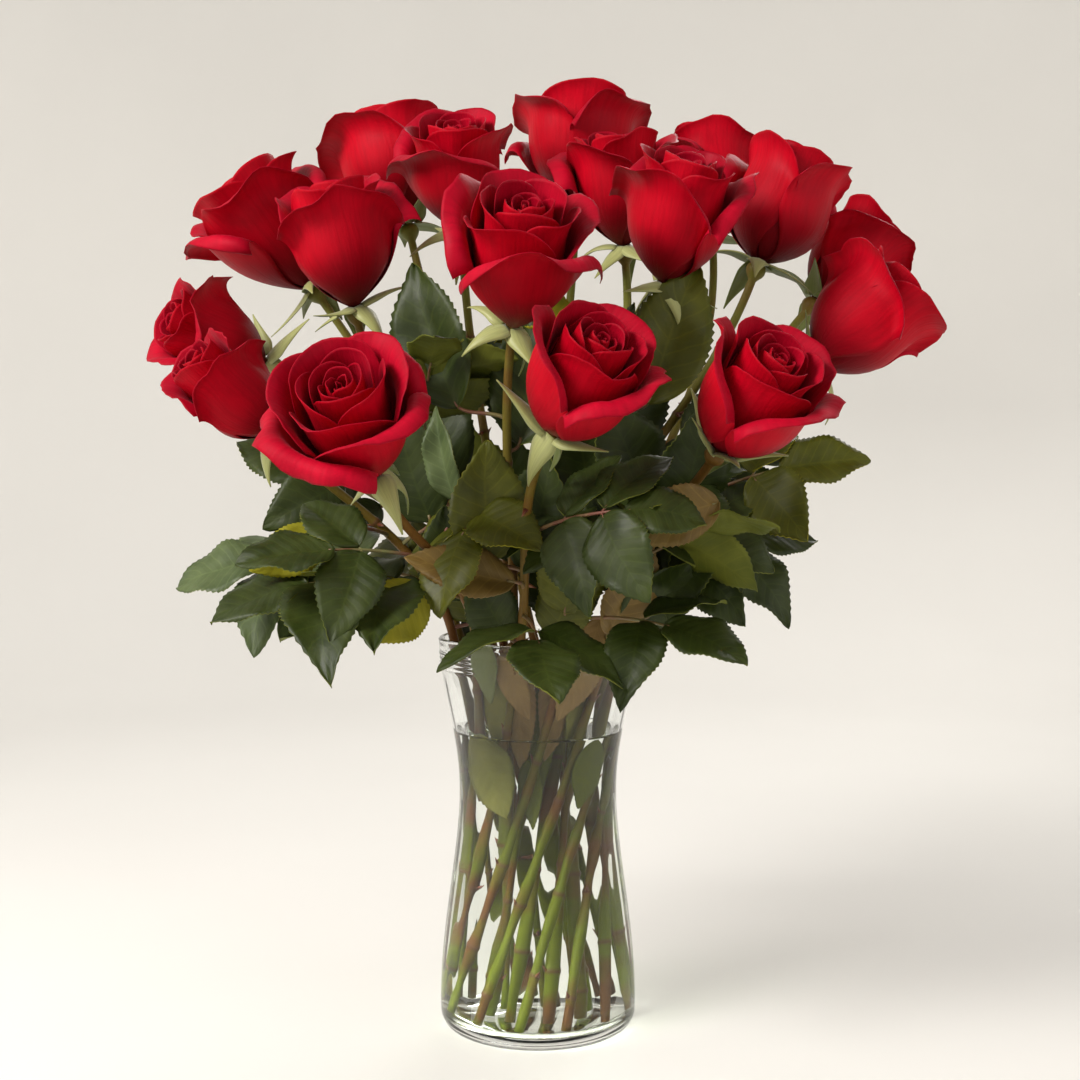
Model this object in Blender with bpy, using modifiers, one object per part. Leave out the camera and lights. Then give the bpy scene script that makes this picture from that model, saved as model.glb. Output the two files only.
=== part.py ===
"""Eighteen long-stemmed red roses standing in a waisted clear glass vase of water.

The frame is the vase's own: +Z up, the origin at the middle of the vase's flat base, +X to the
right and -Y towards the side that the fullest blooms face.  Lengths are in metres.
"""

import math
from collections import namedtuple
from itertools import product

import bmesh
import bpy
from mathutils import Matrix, Vector
from mathutils.bvhtree import BVHTree

MM = 0.001
GAP = 0.3 * MM  # what is left between two pieces that touch

# The vase: a blown shell, waisted between a wide foot and a flared rim.
VASE_HEIGHT = 222 * MM
RIM_RADIUS = 56 * MM
WAIST_RADIUS = 44.6 * MM
WAIST_HEIGHT = 132 * MM
FOOT_RADIUS = 55.7 * MM
FOOT_HEIGHT = 12 * MM
BASE_RADIUS = 49 * MM  # of the flat that the vase stands on
WALL = 3 * MM
FLOOR = 7 * MM
LIP = 1.6 * MM  # the rounded bead along the rim
VASE_STEPS = 32

# The water, up to a little below the flare.
WATER_LEVEL = 170 * MM

# The stems: straight inside the vase, in two rings twisted the same way, so none meets another.
STEM_RADIUS = 3.2 * MM
HIP_RADIUS = 6 * MM
HIP_NECK = 3.2 * MM  # where the hip meets the bloom
HIP_LENGTH = 11 * MM
TWIST = math.radians(-100)  # how far round the vase a stem turns from the rim down to the floor
Ring = namedtuple("Ring", "rim floor first_slot")
OUTER = Ring(rim=48.5 * MM, floor=43 * MM, first_slot=math.radians(-36))
INNER = Ring(rim=20 * MM, floor=21 * MM, first_slot=math.radians(-28))
STRAIGHT_HEIGHTS = (0.25, 0.5, 0.75)  # shares of the straight stretch that carry a ring of points
BEND_STEPS = 7
BEND_PULL = 0.38  # how strongly each end of the bend keeps its direction
STEM_SIDES = 2  # a curve's bevel_resolution: 8 sides

# The blooms.  heading and lean, in degrees, say which way a bloom faces: lean is from upright.
# open runs from 0, a closed bud, to 1, fully blown.  Places and sizes are in millimetres.
Rose = namedtuple("Rose", "name ring x y z heading lean length width open")
ROSES = (
    Rose("rose_01", OUTER, 157, -2, 374, 352, 47, 74, 68, 0.3),
    Rose("rose_02", OUTER, 168, 74, 418, 18, 42, 66, 64, 0.5),
    Rose("rose_03", OUTER, 108, 102, 462, 100, 12, 68, 70, 0.5),
    Rose("rose_04", OUTER, 10, 120, 352, 86, 49, 68, 72, 0.6),
    Rose("rose_05", OUTER, -80, 92, 466, 150, 15, 74, 72, 0.4),
    Rose("rose_06", OUTER, -134, 54, 424, 190, 36, 80, 88, 0.8),
    Rose("rose_07", OUTER, -155, 6, 377, 214, 68, 66, 56, 0.35),
    Rose("rose_08", OUTER, -143, -50, 337, 216, 49, 64, 52, 0.1),
    Rose("rose_09", OUTER, -81, -115, 316, 255, 49, 72, 88, 1.0),
    Rose("rose_10", OUTER, 8, -110, 336, 299, 47, 72, 72, 0.6),
    Rose("rose_11", OUTER, 93, -90, 328, 302, 47, 72, 72, 0.6),
    Rose("rose_12", INNER, 127, 24, 435, 18, 22, 72, 68, 0.2),
    Rose("rose_13", INNER, 50, 35, 446, 243, 13, 68, 66, 0.5),
    Rose("rose_14", INNER, 23, 87, 475, 80, 12, 74, 80, 0.7),
    Rose("rose_15", INNER, -45, 45, 457, 266, 27, 68, 64, 0.5),
    Rose("rose_16", INNER, -103, 0, 408, 226, 16, 74, 66, 0.3),
    Rose("rose_17", INNER, -13, -60, 393, 280, 38, 80, 82, 0.9),
    Rose("rose_18", INNER, 69, -25, 419, 295, 23, 74, 68, 0.4),
)
BLOOM_STEPS = 10
SEPALS_FROM = (0.0, 0.05)  # the band of the bloom that the sepals grow from, as shares of its length
SEPAL_REACH = 22 * MM
SEPAL_DROP = 9 * MM
SEPAL_TIP = 0.2  # the tip's size beside the root's
# Radius along a bloom, as shares of its length and of half its width.
BUD_OUTLINE = (
    (0.0, 0.14), (0.05, 0.42), (0.16, 0.78), (0.34, 1.0), (0.58, 0.94), (0.84, 0.74), (0.98, 0.56), (0.9, 0.26),
)
BLOWN_OUTLINE = (
    (0.0, 0.12), (0.05, 0.36), (0.16, 0.6), (0.34, 0.78), (0.58, 0.92), (0.78, 1.0), (0.84, 0.8), (0.88, 0.4),
)
MIDDLE_TOP = 0.96  # how far up the middle of a bloom comes

# The leaves: a stalk with 3 or 5 leaflets, thin, arched, each growing from a stem.
LEAF_THICKNESS = 0.9 * MM
STALK_WIDTH = 2 * MM
LEAF_CLEARANCE = 0.7 * MM  # what a leaf keeps to everything but its own stem
LeafKind = namedtuple("LeafKind", "pairs leaflet_from arch")
KINDS = {
    "three": LeafKind(pairs=(0.42,), leaflet_from=0.56, arch=math.radians(35)),
    "five": LeafKind(pairs=(0.28, 0.52), leaflet_from=0.64, arch=math.radians(50)),
}
LEAFLET_SPLAY = math.radians(68)
LEAFLET_ROWS = 3
SIDE_LEAFLET = 0.37  # length of a side leaflet beside the whole leaf
LEAFLET_BREADTH = 0.58  # full width of a leaflet beside its length
# height is where the stalk leaves its stem; x, y and z are where the tip reaches to, in millimetres.
Leaf = namedtuple("Leaf", "stem kind height x y z roll")
LEAVES = (
    Leaf("rose_08", "five", 256, -192, -48, 250, -48),
    Leaf("rose_09", "five", 242, -152, -92, 226, -42),
    Leaf("rose_07", "three", 286, -170, 0, 322, -50),
    Leaf("rose_09", "three", 272, -112, -112, 262, -55),
    Leaf("rose_10", "three", 240, 10, -124, 212, 0),
    Leaf("rose_17", "three", 298, -62, -76, 240, 10),
    Leaf("rose_18", "five", 290, 20, -96, 238, 0),
    Leaf("rose_11", "three", 262, 104, -78, 300, -40),
    Leaf("rose_01", "five", 254, 150, -42, 268, 50),
    Leaf("rose_01", "three", 298, 163, -38, 312, 50),
    Leaf("rose_11", "three", 238, 76, -108, 226, 30),
    Leaf("rose_18", "five", 330, 98, -22, 398, 55),
    Leaf("rose_16", "five", 322, -66, -62, 384, 20),
    Leaf("rose_13", "three", 326, 56, -74, 282, 25),
    Leaf("rose_12", "five", 288, 106, -66, 262, 50),
    Leaf("rose_10", "five", 268, 78, -112, 262, 60),
    Leaf("rose_04", "five", 246, -14, 150, 246, 0),
    Leaf("rose_05", "five", 258, -104, 122, 256, 0),
    Leaf("rose_03", "five", 258, 88, 128, 262, 0),
    Leaf("rose_02", "three", 286, 160, 34, 330, 40),
    Leaf("rose_06", "three", 280, -152, 62, 296, -35),
    Leaf("rose_14", "three", 318, -30, 112, 348, 0),
)
SHORTEST_LEAF, LONGEST_LEAF = 100 * MM, 136 * MM
TURN_STEPS = (0, 12, -12, 24, -24, 36, -36, 48, -48, 60, -60, 75, -75, 90, -90)  # degrees
RISE_STEPS = (0, 12, -12, 24, -24, 36, -36)
SLIDE_STEPS = (0, 8, -8, 16, -16)  # millimetres up or down the stem

Paint = namedtuple("Paint", "colour roughness alpha")
PAINTS = {
    "vase_glass": Paint((0.86, 0.9, 0.88), 0.03, 0.3),
    "water": Paint((0.84, 0.88, 0.8), 0.02, 0.35),
    "petal_red": Paint((0.62, 0.01, 0.025), 0.55, 1.0),
    "stem_green": Paint((0.2, 0.26, 0.07), 0.5, 1.0),
    "leaf_green": Paint((0.06, 0.13, 0.05), 0.42, 1.0),
}


def clear_scene():
    for thing in list(bpy.data.objects):
        bpy.data.objects.remove(thing)


def paint(name):
    """The material of that name, made the first time that it is asked for."""
    found = bpy.data.materials.get(name)
    if found:
        return found
    made = bpy.data.materials.new(name)
    made.use_nodes = True
    shader = made.node_tree.nodes["Principled BSDF"]
    shader.inputs["Base Color"].default_value = (*PAINTS[name].colour, 1)
    shader.inputs["Roughness"].default_value = PAINTS[name].roughness
    shader.inputs["Metallic"].default_value = 0
    shader.inputs["Alpha"].default_value = PAINTS[name].alpha
    return made


def add_object(name, data, slot, collection, parent=None):
    made = bpy.data.objects.new(name, data)
    collection.objects.link(made)
    data.materials.append(paint(slot))
    made.parent = parent
    return made


def mesh_from(bm, name):
    mesh = bpy.data.meshes.new(name)
    bm.to_mesh(mesh)
    bm.free()
    return mesh


def swell(share, fullness):
    """0 to 1 as share goes from 0 to 1, level at both ends."""
    return ((1 - math.cos(math.pi * share)) / 2) ** fullness


def vase_radius(height):
    """The vase's outer radius between its foot and its rim."""
    if height < WAIST_HEIGHT:
        share = (WAIST_HEIGHT - height) / (WAIST_HEIGHT - FOOT_HEIGHT)
        return WAIST_RADIUS + (FOOT_RADIUS - WAIST_RADIUS) * swell(min(share, 1), 0.8)
    share = (height - WAIST_HEIGHT) / (VASE_HEIGHT - WAIST_HEIGHT)
    return WAIST_RADIUS + (RIM_RADIUS - WAIST_RADIUS) * swell(min(share, 1), 1.15)


def heights(low, high, steps):
    return [low + (high - low) * k / steps for k in range(steps + 1)]


def turned(name, profile, slot, collection, parent):
    """A solid of revolution about Z.  The profile runs down its outer side."""
    bm = bmesh.new()
    points = [bm.verts.new((radius, 0, height)) for radius, height in profile]
    for first, second in zip(points, points[1:]):
        bm.edges.new((first, second))
    made = add_object(name, mesh_from(bm, name), slot, collection, parent)
    screw = made.modifiers.new("turn", "SCREW")
    screw.steps = VASE_STEPS
    screw.render_steps = VASE_STEPS
    screw.use_merge_vertices = True
    screw.merge_threshold = 0.01 * MM
    screw.use_smooth_shade = True
    return made


def build_vase(collection, parent):
    wall_top = VASE_HEIGHT - LIP
    outside = [(vase_radius(h), h) for h in reversed(heights(FOOT_HEIGHT, wall_top - LIP, 9))]
    inside = [(vase_radius(h) - WALL, h) for h in heights(FLOOR + 9 * MM, wall_top - LIP, 9)]
    lip_middle = RIM_RADIUS - WALL / 2
    lip = [
        (lip_middle + (WALL / 2 + 0.4 * MM) * math.cos(angle), wall_top + LIP * math.sin(angle))
        for angle in (math.pi * k / 4 for k in range(5))
    ]
    foot = [(FOOT_RADIUS - 1.2 * MM, 5 * MM), (BASE_RADIUS + 3.2 * MM, 1.2 * MM), (BASE_RADIUS, 0)]
    floor = [(0, FLOOR), (BASE_RADIUS - 6 * MM, FLOOR), (BASE_RADIUS, FLOOR + 2 * MM)]
    rising = [(FOOT_RADIUS - WALL - 0.8 * MM, FLOOR + 5 * MM)]
    profile = lip[:1] + outside + foot + [(0, 0)] + floor + rising + inside + list(reversed(lip[1:]))
    profile.append(profile[0])
    return turned("vase", profile, "vase_glass", collection, parent)


def direction(heading, lean):
    """A unit vector from a heading about Z and a lean from upright, both in degrees."""
    heading, lean = math.radians(heading), math.radians(lean)
    return Vector((math.cos(heading) * math.sin(lean), math.sin(heading) * math.sin(lean), math.cos(lean)))


def ring_point(radius, angle, height):
    return Vector((radius * math.cos(angle), radius * math.sin(angle), height))


def on_bend(start, pull_start, pull_end, end, share):
    """A point of the cubic curve from start to end."""
    rest = 1 - share
    return (
        start * rest**3 + pull_start * 3 * rest**2 * share + pull_end * 3 * rest * share**2 + end * share**3
    )


def stem_route(rose):
    """The stem's centre line from its cut end to the hip, as (point, radius) pairs."""
    ring = [other for other in ROSES if other.ring is rose.ring]
    slot = rose.ring.first_slot + math.tau * ring.index(rose) / len(ring)
    rim = ring_point(rose.ring.rim, slot, VASE_HEIGHT)
    cut = ring_point(rose.ring.floor, slot + TWIST, FLOOR)
    along = (rim - cut).normalized()
    cut.z += GAP + STEM_RADIUS * math.sin(along.angle((0, 0, 1)))
    facing = direction(rose.heading, rose.lean)
    head = Vector((rose.x, rose.y, rose.z)) * MM - facing * GAP
    hip_foot = head - facing * HIP_LENGTH
    pull = (hip_foot - rim).length * BEND_PULL
    route = [(cut, STEM_RADIUS)]
    route += [(cut.lerp(rim, share), STEM_RADIUS) for share in STRAIGHT_HEIGHTS]
    for k in range(BEND_STEPS + 1):
        bend = on_bend(rim, rim + along * pull, hip_foot - facing * pull, hip_foot, k / BEND_STEPS)
        route.append((bend, STEM_RADIUS))
    route.append((hip_foot.lerp(head, 0.6), HIP_RADIUS))
    route.append((head, HIP_NECK))
    return route


def tube(name, route, slot, collection, parent=None):
    """A round bar along a route of (point, radius) pairs, as a mesh with its caps welded on."""
    curve = bpy.data.curves.new(name, "CURVE")
    curve.dimensions = "3D"
    curve.bevel_depth = 1
    curve.bevel_resolution = STEM_SIDES
    curve.use_fill_caps = True
    spline = curve.splines.new("POLY")
    spline.points.add(len(route) - 1)
    for point, (place, radius) in zip(spline.points, route):
        point.co = (*place, 1)
        point.radius = radius
    guide = bpy.data.objects.new(name + "_guide", curve)
    collection.objects.link(guide)
    bpy.context.view_layer.update()
    mesh = bpy.data.meshes.new_from_object(guide.evaluated_get(bpy.context.evaluated_depsgraph_get()))
    bpy.data.objects.remove(guide)
    bm = bmesh.new()
    bm.from_mesh(mesh)
    bmesh.ops.remove_doubles(bm, verts=bm.verts, dist=0.01 * MM)
    bm.to_mesh(mesh)
    bm.free()
    mesh.name = name
    mesh.materials.clear()
    mesh.shade_smooth()
    mesh.set_sharp_from_angle(angle=math.radians(50))
    return add_object(name, mesh, slot, collection, parent)


def build_water(stems, collection, cutters, parent):
    """The water: what the vase holds up to its level, less the stems that stand in it."""
    inside = [(vase_radius(h) - WALL - GAP, h) for h in reversed(heights(FLOOR + 9 * MM, WATER_LEVEL, 8))]
    low = FLOOR + GAP
    rounding = [(BASE_RADIUS - GAP, low + 2 * MM), (BASE_RADIUS - 6 * MM, low), (0, low)]
    profile = [(0, WATER_LEVEL)] + inside + rounding
    water = turned("water", profile, "water", collection, parent)
    for name, route in stems.items():
        (cut, _), (above, _) = route[:2]
        start = cut - (above - cut).normalized() * 4 * STEM_RADIUS
        straight = [(start, STEM_RADIUS + GAP), (route[4][0], STEM_RADIUS + GAP)]
        cutter = tube(name + "_cutter", straight, "water", cutters)
        cutter.hide_render = True
        cutter.display_type = "WIRE"
    cut = water.modifiers.new("stems", "BOOLEAN")
    cut.operation = "DIFFERENCE"
    cut.operand_type = "COLLECTION"
    cut.collection = cutters
    return water


def bloom_outline(rose):
    """(radius, height) pairs from the bloom's foot to the edge of its middle."""
    pairs = []
    for (bud_up, bud_out), (blown_up, blown_out) in zip(BUD_OUTLINE, BLOWN_OUTLINE):
        up = bud_up + (blown_up - bud_up) * rose.open
        out = bud_out + (blown_out - bud_out) * rose.open
        pairs.append((out * rose.width * MM / 2, up * rose.length * MM))
    return pairs


def grow_sepals(bm, length):
    """Draws every second face of the lowest band out into a sepal that hangs back over the hip."""
    low, high = (share * length for share in SEPALS_FROM)
    band = [
        face
        for face in bm.faces
        if low < face.calc_center_median().z < high and face.normal.xy.length > 0.1
    ]
    band.sort(key=lambda face: math.atan2(*face.calc_center_median().yx))
    for face in band[::2]:
        centre = face.calc_center_median()
        outward = Vector((centre.x, centre.y, 0)).normalized()
        tip = bmesh.ops.extrude_discrete_faces(bm, faces=[face])["faces"][0]
        root = tip.calc_center_median()
        shrink = Matrix.Scale(SEPAL_TIP, 4)
        bmesh.ops.transform(bm, matrix=shrink, verts=tip.verts, space=Matrix.Translation(-root))
        bmesh.ops.translate(bm, vec=outward * SEPAL_REACH - Vector((0, 0, SEPAL_DROP)), verts=tip.verts)


def build_bloom(rose, collection, parent):
    """One flower head: its petals as one turned solid, with five sepals behind."""
    outline = bloom_outline(rose)
    bm = bmesh.new()
    profile = [bm.verts.new((0, 0, 0))]
    profile += [bm.verts.new((radius, 0, height)) for radius, height in outline]
    profile.append(bm.verts.new((0, 0, rose.length * MM * MIDDLE_TOP)))
    edges = [bm.edges.new(pair) for pair in zip(profile, profile[1:])]
    bmesh.ops.spin(
        bm, geom=profile + edges, cent=(0, 0, 0), axis=(0, 0, 1), angle=math.tau, steps=BLOOM_STEPS, use_merge=True
    )
    bmesh.ops.remove_doubles(bm, verts=bm.verts, dist=0.01 * MM)
    bmesh.ops.recalc_face_normals(bm, faces=bm.faces)
    grow_sepals(bm, rose.length * MM)
    made = add_object(rose.name + "_bloom", mesh_from(bm, rose.name), "petal_red", collection, parent)
    made.location = Vector((rose.x, rose.y, rose.z)) * MM
    made.rotation_euler = direction(rose.heading, rose.lean).to_track_quat("Z", "Y").to_euler()
    return made


def leaflet_half_width(share):
    """Half a leaflet's width beside its length: round near the stalk, drawn out to a point."""
    return LEAFLET_BREADTH / 2 * math.sin(math.pi * share**0.8) ** 0.8


def arched(along, across, length, arch):
    """Bends the flat leaf, which lies along X, down along a circular arc."""
    radius = length / arch
    turn = along / radius
    sag = -across * across / (1.6 * length)
    return Vector(((radius + sag) * math.sin(turn), across, (radius + sag) * math.cos(turn) - radius))


def flat_leaflet(bm, foot, reach, splay, side):
    """A leaflet in the leaf's own plane.  Its three foot points are the stalk's, so they merge."""
    grid = bmesh.ops.create_grid(bm, x_segments=LEAFLET_ROWS, y_segments=2, size=1)["verts"]
    forward = Vector((math.cos(splay), side * math.sin(splay)))
    sideways = Vector((-forward.y, forward.x))
    middle = foot[1]
    for vertex in grid:
        share = (vertex.co.x + 1) / 2
        if share < 0.01:
            place = foot[round(vertex.co.y) + 1]
        else:
            half = leaflet_half_width(min(share, 0.999)) * reach * vertex.co.y
            place = middle + forward * reach * share + sideways * half
        vertex.co = (*place, 0)


def leaf_mesh(kind, length, name):
    """A whole leaf as one sheet, lying along +X from where it grows, with its upper face up."""
    half = STALK_WIDTH / 2
    joints = [0.0]
    for pair in kind.pairs:
        joints += [pair * length - half, pair * length, pair * length + half]
    joints.append(kind.leaflet_from * length)
    bm = bmesh.new()
    stalk = bmesh.ops.create_grid(bm, x_segments=len(joints) - 1, y_segments=2, size=1)["verts"]
    for vertex in stalk:
        row = round((vertex.co.x + 1) / 2 * (len(joints) - 1))
        vertex.co = (joints[row], half * vertex.co.y, 0)
    for pair in kind.pairs:
        for side in (1, -1):
            foot = [Vector((pair * length - side * step * half, side * half)) for step in (-1, 0, 1)]
            reach = SIDE_LEAFLET * length
            flat_leaflet(bm, foot, reach, LEAFLET_SPLAY, side)
    tip_foot = [Vector((joints[-1], half * step)) for step in (-1, 0, 1)]
    flat_leaflet(bm, tip_foot, length - joints[-1], 0, 1)
    bmesh.ops.remove_doubles(bm, verts=bm.verts, dist=0.05 * MM)
    bmesh.ops.recalc_face_normals(bm, faces=bm.faces)
    for vertex in bm.verts:
        vertex.co = arched(vertex.co.x, vertex.co.y, length, kind.arch)
    return mesh_from(bm, name)


def where_on_stem(route, height):
    """The stem's point, direction and radius at a height in millimetres."""
    height *= MM
    for (low, radius), (high, _) in zip(route, route[1:]):
        if low.z <= height <= high.z:
            share = (height - low.z) / (high.z - low.z)
            return low.lerp(high, share), (high - low).normalized(), radius
    raise ValueError("the stem doesn't reach that height")


def leaf_aim(leaf, route):
    """The heading and rise, in degrees, and the length that carry a leaf's tip where it belongs."""
    middle, _, _ = where_on_stem(route, leaf.height)
    chord = Vector((leaf.x, leaf.y, leaf.z)) * MM - middle
    half_arch = KINDS[leaf.kind].arch / 2
    heading = math.degrees(math.atan2(chord.y, chord.x))
    rise = math.degrees(math.asin(chord.normalized().z) + half_arch)
    length = chord.length * half_arch / math.sin(half_arch)
    return heading, rise, min(max(length, SHORTEST_LEAF), LONGEST_LEAF)


def leaf_place(leaf, route, heading, rise, slide):
    """Where a leaf sits on its stem, as a matrix: X along the leaf, Z out of its upper face."""
    middle, upward, radius = where_on_stem(route, leaf.height + slide)
    forward = direction(heading, 90 - rise)
    sideways = Vector((0, 0, 1)).cross(forward).normalized()
    sideways.rotate(Matrix.Rotation(math.radians(leaf.roll), 3, forward))
    facing = forward.cross(sideways)
    outward = (forward - upward * forward.dot(upward)).normalized()
    start = middle + outward * (radius + GAP + LEAF_THICKNESS / 2)
    rotation = Matrix((forward, sideways, facing)).transposed()
    return Matrix.Translation(start) @ rotation.to_4x4()


def solid_tree(thing):
    """The object's evaluated surface in world space, for the clearance tests."""
    graph = bpy.context.evaluated_depsgraph_get()
    evaluated = thing.evaluated_get(graph)
    mesh = evaluated.to_mesh()
    points = [thing.matrix_world @ vertex.co for vertex in mesh.vertices]
    faces = [tuple(face.vertices) for face in mesh.polygons]
    evaluated.to_mesh_clear()
    return BVHTree.FromPolygons(points, faces)


def is_clear(thing, thickness, trees):
    """Whether the leaf, drawn that thick, keeps off every one of these surfaces."""
    thing.modifiers["thickness"].thickness = thickness
    bpy.context.view_layer.update()
    tree = solid_tree(thing)
    thing.modifiers["thickness"].thickness = LEAF_THICKNESS
    return not any(tree.overlap(other) for other in trees)


def how_far(move):
    """How far a leaf's turn, lift and slide take it from where it was aimed."""
    turn, lift, slide = move
    return abs(turn) + 1.5 * abs(lift) + abs(slide)


def build_leaf(leaf, name, route, trees, collection, parent):
    """A leaf, turned about its stem, raised or slid along it until it clears what is there."""
    heading, rise, length = leaf_aim(leaf, route)
    mesh = leaf_mesh(KINDS[leaf.kind], length, name)
    made = add_object(name, mesh, "leaf_green", collection, parent)
    shell = made.modifiers.new("thickness", "SOLIDIFY")
    shell.thickness = LEAF_THICKNESS
    shell.offset = 0
    own = [tree for owner, tree in trees.items() if owner == leaf.stem + "_stem"]
    others = [tree for owner, tree in trees.items() if owner != leaf.stem + "_stem"]
    for turn, lift, slide in sorted(product(TURN_STEPS, RISE_STEPS, SLIDE_STEPS), key=how_far):
        made.matrix_world = leaf_place(leaf, route, heading + turn, rise + lift, slide)
        clear = is_clear(made, LEAF_THICKNESS, own)
        if clear and is_clear(made, LEAF_THICKNESS + 2 * LEAF_CLEARANCE, others):
            print(name, leaf.stem, "turn", turn, "lift", lift, "slide", slide)
            return made
    raise ValueError(f"{name} finds no clear place")


def main():
    clear_scene()
    collection = bpy.data.collections.new("roses_in_vase")
    bpy.context.scene.collection.children.link(collection)
    cutters = bpy.data.collections.new("stem_cutters")
    bpy.context.scene.collection.children.link(cutters)
    middle = bpy.data.objects.new("arrangement", None)
    collection.objects.link(middle)

    routes = {rose.name: stem_route(rose) for rose in ROSES}
    placed = [build_vase(collection, middle)]
    for rose in ROSES:
        placed.append(tube(rose.name + "_stem", routes[rose.name], "stem_green", collection, middle))
        placed.append(build_bloom(rose, collection, middle))
    build_water(routes, collection, cutters, middle)
    bpy.context.view_layer.update()
    trees = {thing.name: solid_tree(thing) for thing in placed}
    for number, leaf in enumerate(LEAVES, start=1):
        name = f"leaf_{number:02}_{leaf.kind}"
        made = build_leaf(leaf, name, routes[leaf.stem], trees, collection, middle)
        trees[made.name] = solid_tree(made)


main()
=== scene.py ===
"""Eighteen long-stemmed red roses in a waisted clear glass vase of water.

Lengths are in metres, +Z is up, and the origin is the middle of the vase's base.
"""

import math
import random
from collections import namedtuple

import bmesh
import bpy
from mathutils import Matrix, Vector, noise


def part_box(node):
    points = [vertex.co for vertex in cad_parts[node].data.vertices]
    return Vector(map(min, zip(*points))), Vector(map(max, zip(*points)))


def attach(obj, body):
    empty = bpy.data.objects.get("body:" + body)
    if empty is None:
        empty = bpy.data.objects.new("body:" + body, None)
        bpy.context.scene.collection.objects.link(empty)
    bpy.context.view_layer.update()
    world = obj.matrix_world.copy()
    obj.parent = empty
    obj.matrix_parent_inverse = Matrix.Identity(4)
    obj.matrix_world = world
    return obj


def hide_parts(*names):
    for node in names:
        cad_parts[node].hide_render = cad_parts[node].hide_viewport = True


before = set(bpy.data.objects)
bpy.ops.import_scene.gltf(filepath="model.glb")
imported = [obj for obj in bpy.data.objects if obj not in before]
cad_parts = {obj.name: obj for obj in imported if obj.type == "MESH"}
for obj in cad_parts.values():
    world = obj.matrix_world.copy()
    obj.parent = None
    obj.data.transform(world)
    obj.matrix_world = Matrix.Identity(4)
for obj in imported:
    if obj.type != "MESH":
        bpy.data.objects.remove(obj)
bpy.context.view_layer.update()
MM = 0.001

# ---------------------------------------------------------------------------------------------
# The vase: clear pressed glass, waisted between a heavy foot and a flared rim.  Fine rings run
# round it under the lip, and soft upright flutes inside it bend what is seen through it.
# ---------------------------------------------------------------------------------------------
RIM_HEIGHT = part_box("vase")[1].z
RIM_RADIUS = 56 * MM
WAIST_RADIUS, WAIST_HEIGHT = 44.6 * MM, 132 * MM
FOOT_RADIUS, FOOT_HEIGHT = 55.7 * MM, 12 * MM
BASE_RADIUS = 49 * MM
WALL = 3 * MM
GLASS_FLOOR = 7 * MM
LIP = 1.6 * MM
RING_HEIGHTS = (213.2 * MM, 210.6 * MM, 208.0 * MM, 205.4 * MM)
RING_STANDS, RING_HALF_HEIGHT = 0.45 * MM, 0.6 * MM
FLUTES = 20
FLUTE_DEPTH = 0.28 * MM
FLUTE_TOP, FLUTE_FOOT = RIM_HEIGHT - 14 * MM, GLASS_FLOOR + 8 * MM
FADE_AT_TOP, FADE_AT_FOOT = 26 * MM, 14 * MM  # the lengths over which the flutes run out
STEPS_PER_FLUTE = 8
PUNT = 2.2 * MM  # how far the middle of the base is pushed up


def swell(share, fullness):
    """0 to 1 as share goes from 0 to 1, level at both ends."""
    return ((1 - math.cos(math.pi * min(max(share, 0), 1))) / 2) ** fullness


def vase_radius(height):
    """The vase's outer radius between its foot and its rim."""
    if height < WAIST_HEIGHT:
        share = (WAIST_HEIGHT - height) / (WAIST_HEIGHT - FOOT_HEIGHT)
        return WAIST_RADIUS + (FOOT_RADIUS - WAIST_RADIUS) * swell(share, 0.8)
    share = (height - WAIST_HEIGHT) / (RIM_HEIGHT - WAIST_HEIGHT)
    return WAIST_RADIUS + (RIM_RADIUS - WAIST_RADIUS) * swell(share, 1.15)


def levels(low, high, steps):
    return [low + (high - low) * k / steps for k in range(steps + 1)]


def spun(profile, steps):
    """A mesh turned round Z from (radius, height) pairs."""
    bm = bmesh.new()
    points = [bm.verts.new((radius, 0, height)) for radius, height in profile]
    edges = [bm.edges.new(pair) for pair in zip(points, points[1:])]
    bmesh.ops.spin(
        bm,
        geom=points + edges,
        cent=(0, 0, 0),
        axis=(0, 0, 1),
        angle=math.tau,
        steps=steps,
        use_merge=True,
    )
    bmesh.ops.remove_doubles(bm, verts=bm.verts, dist=0.002 * MM)
    bmesh.ops.recalc_face_normals(bm, faces=bm.faces)
    return bm


def add_piece(name, bm, materials):
    """Makes the piece's object, smooth shaded, riding with the vase."""
    mesh = bpy.data.meshes.new(name)
    bm.to_mesh(mesh)
    bm.free()
    mesh.shade_smooth()
    for material in materials:
        mesh.materials.append(material)
    piece = bpy.data.objects.new(name, mesh)
    bpy.context.scene.collection.objects.link(piece)
    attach(piece, "root")
    return piece


def put(tree, kind, inputs=(), **settings):
    """Adds a node.  Each input is a number, a colour or another node's output."""
    made = tree.nodes.new("ShaderNode" + kind)
    for setting, value in settings.items():
        setattr(made, setting, value)
    for socket, value in dict(inputs).items():
        if isinstance(value, bpy.types.NodeSocket):
            tree.links.new(value, made.inputs[socket])
        else:
            made.inputs[socket].default_value = value
    return made


def finish_of(name, **fixed):
    """A new material's tree and its shader, with the inputs that are the same all over."""
    material = bpy.data.materials.new(name)
    material.use_nodes = True
    tree = material.node_tree
    shader = tree.nodes["Principled BSDF"]
    for socket, value in fixed.items():
        shader.inputs[socket.replace("_", " ")].default_value = value
    return material, tree, shader


def ramp(tree, factor, *stops):
    """A colour ramp's colour output; each stop is (place, grey) or (place, (r, g, b))."""
    made = put(tree, "ValToRGB", {"Fac": factor})
    elements = made.color_ramp.elements
    while len(elements) < len(stops):
        elements.new(0.5)
    for element, (place, colour) in zip(elements, stops):
        element.position = place
        element.color = (*colour, 1) if isinstance(colour, tuple) else (colour,) * 3 + (1,)
    return made.outputs["Color"]


def object_place(tree):
    return put(tree, "TexCoord").outputs["Object"]


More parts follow.
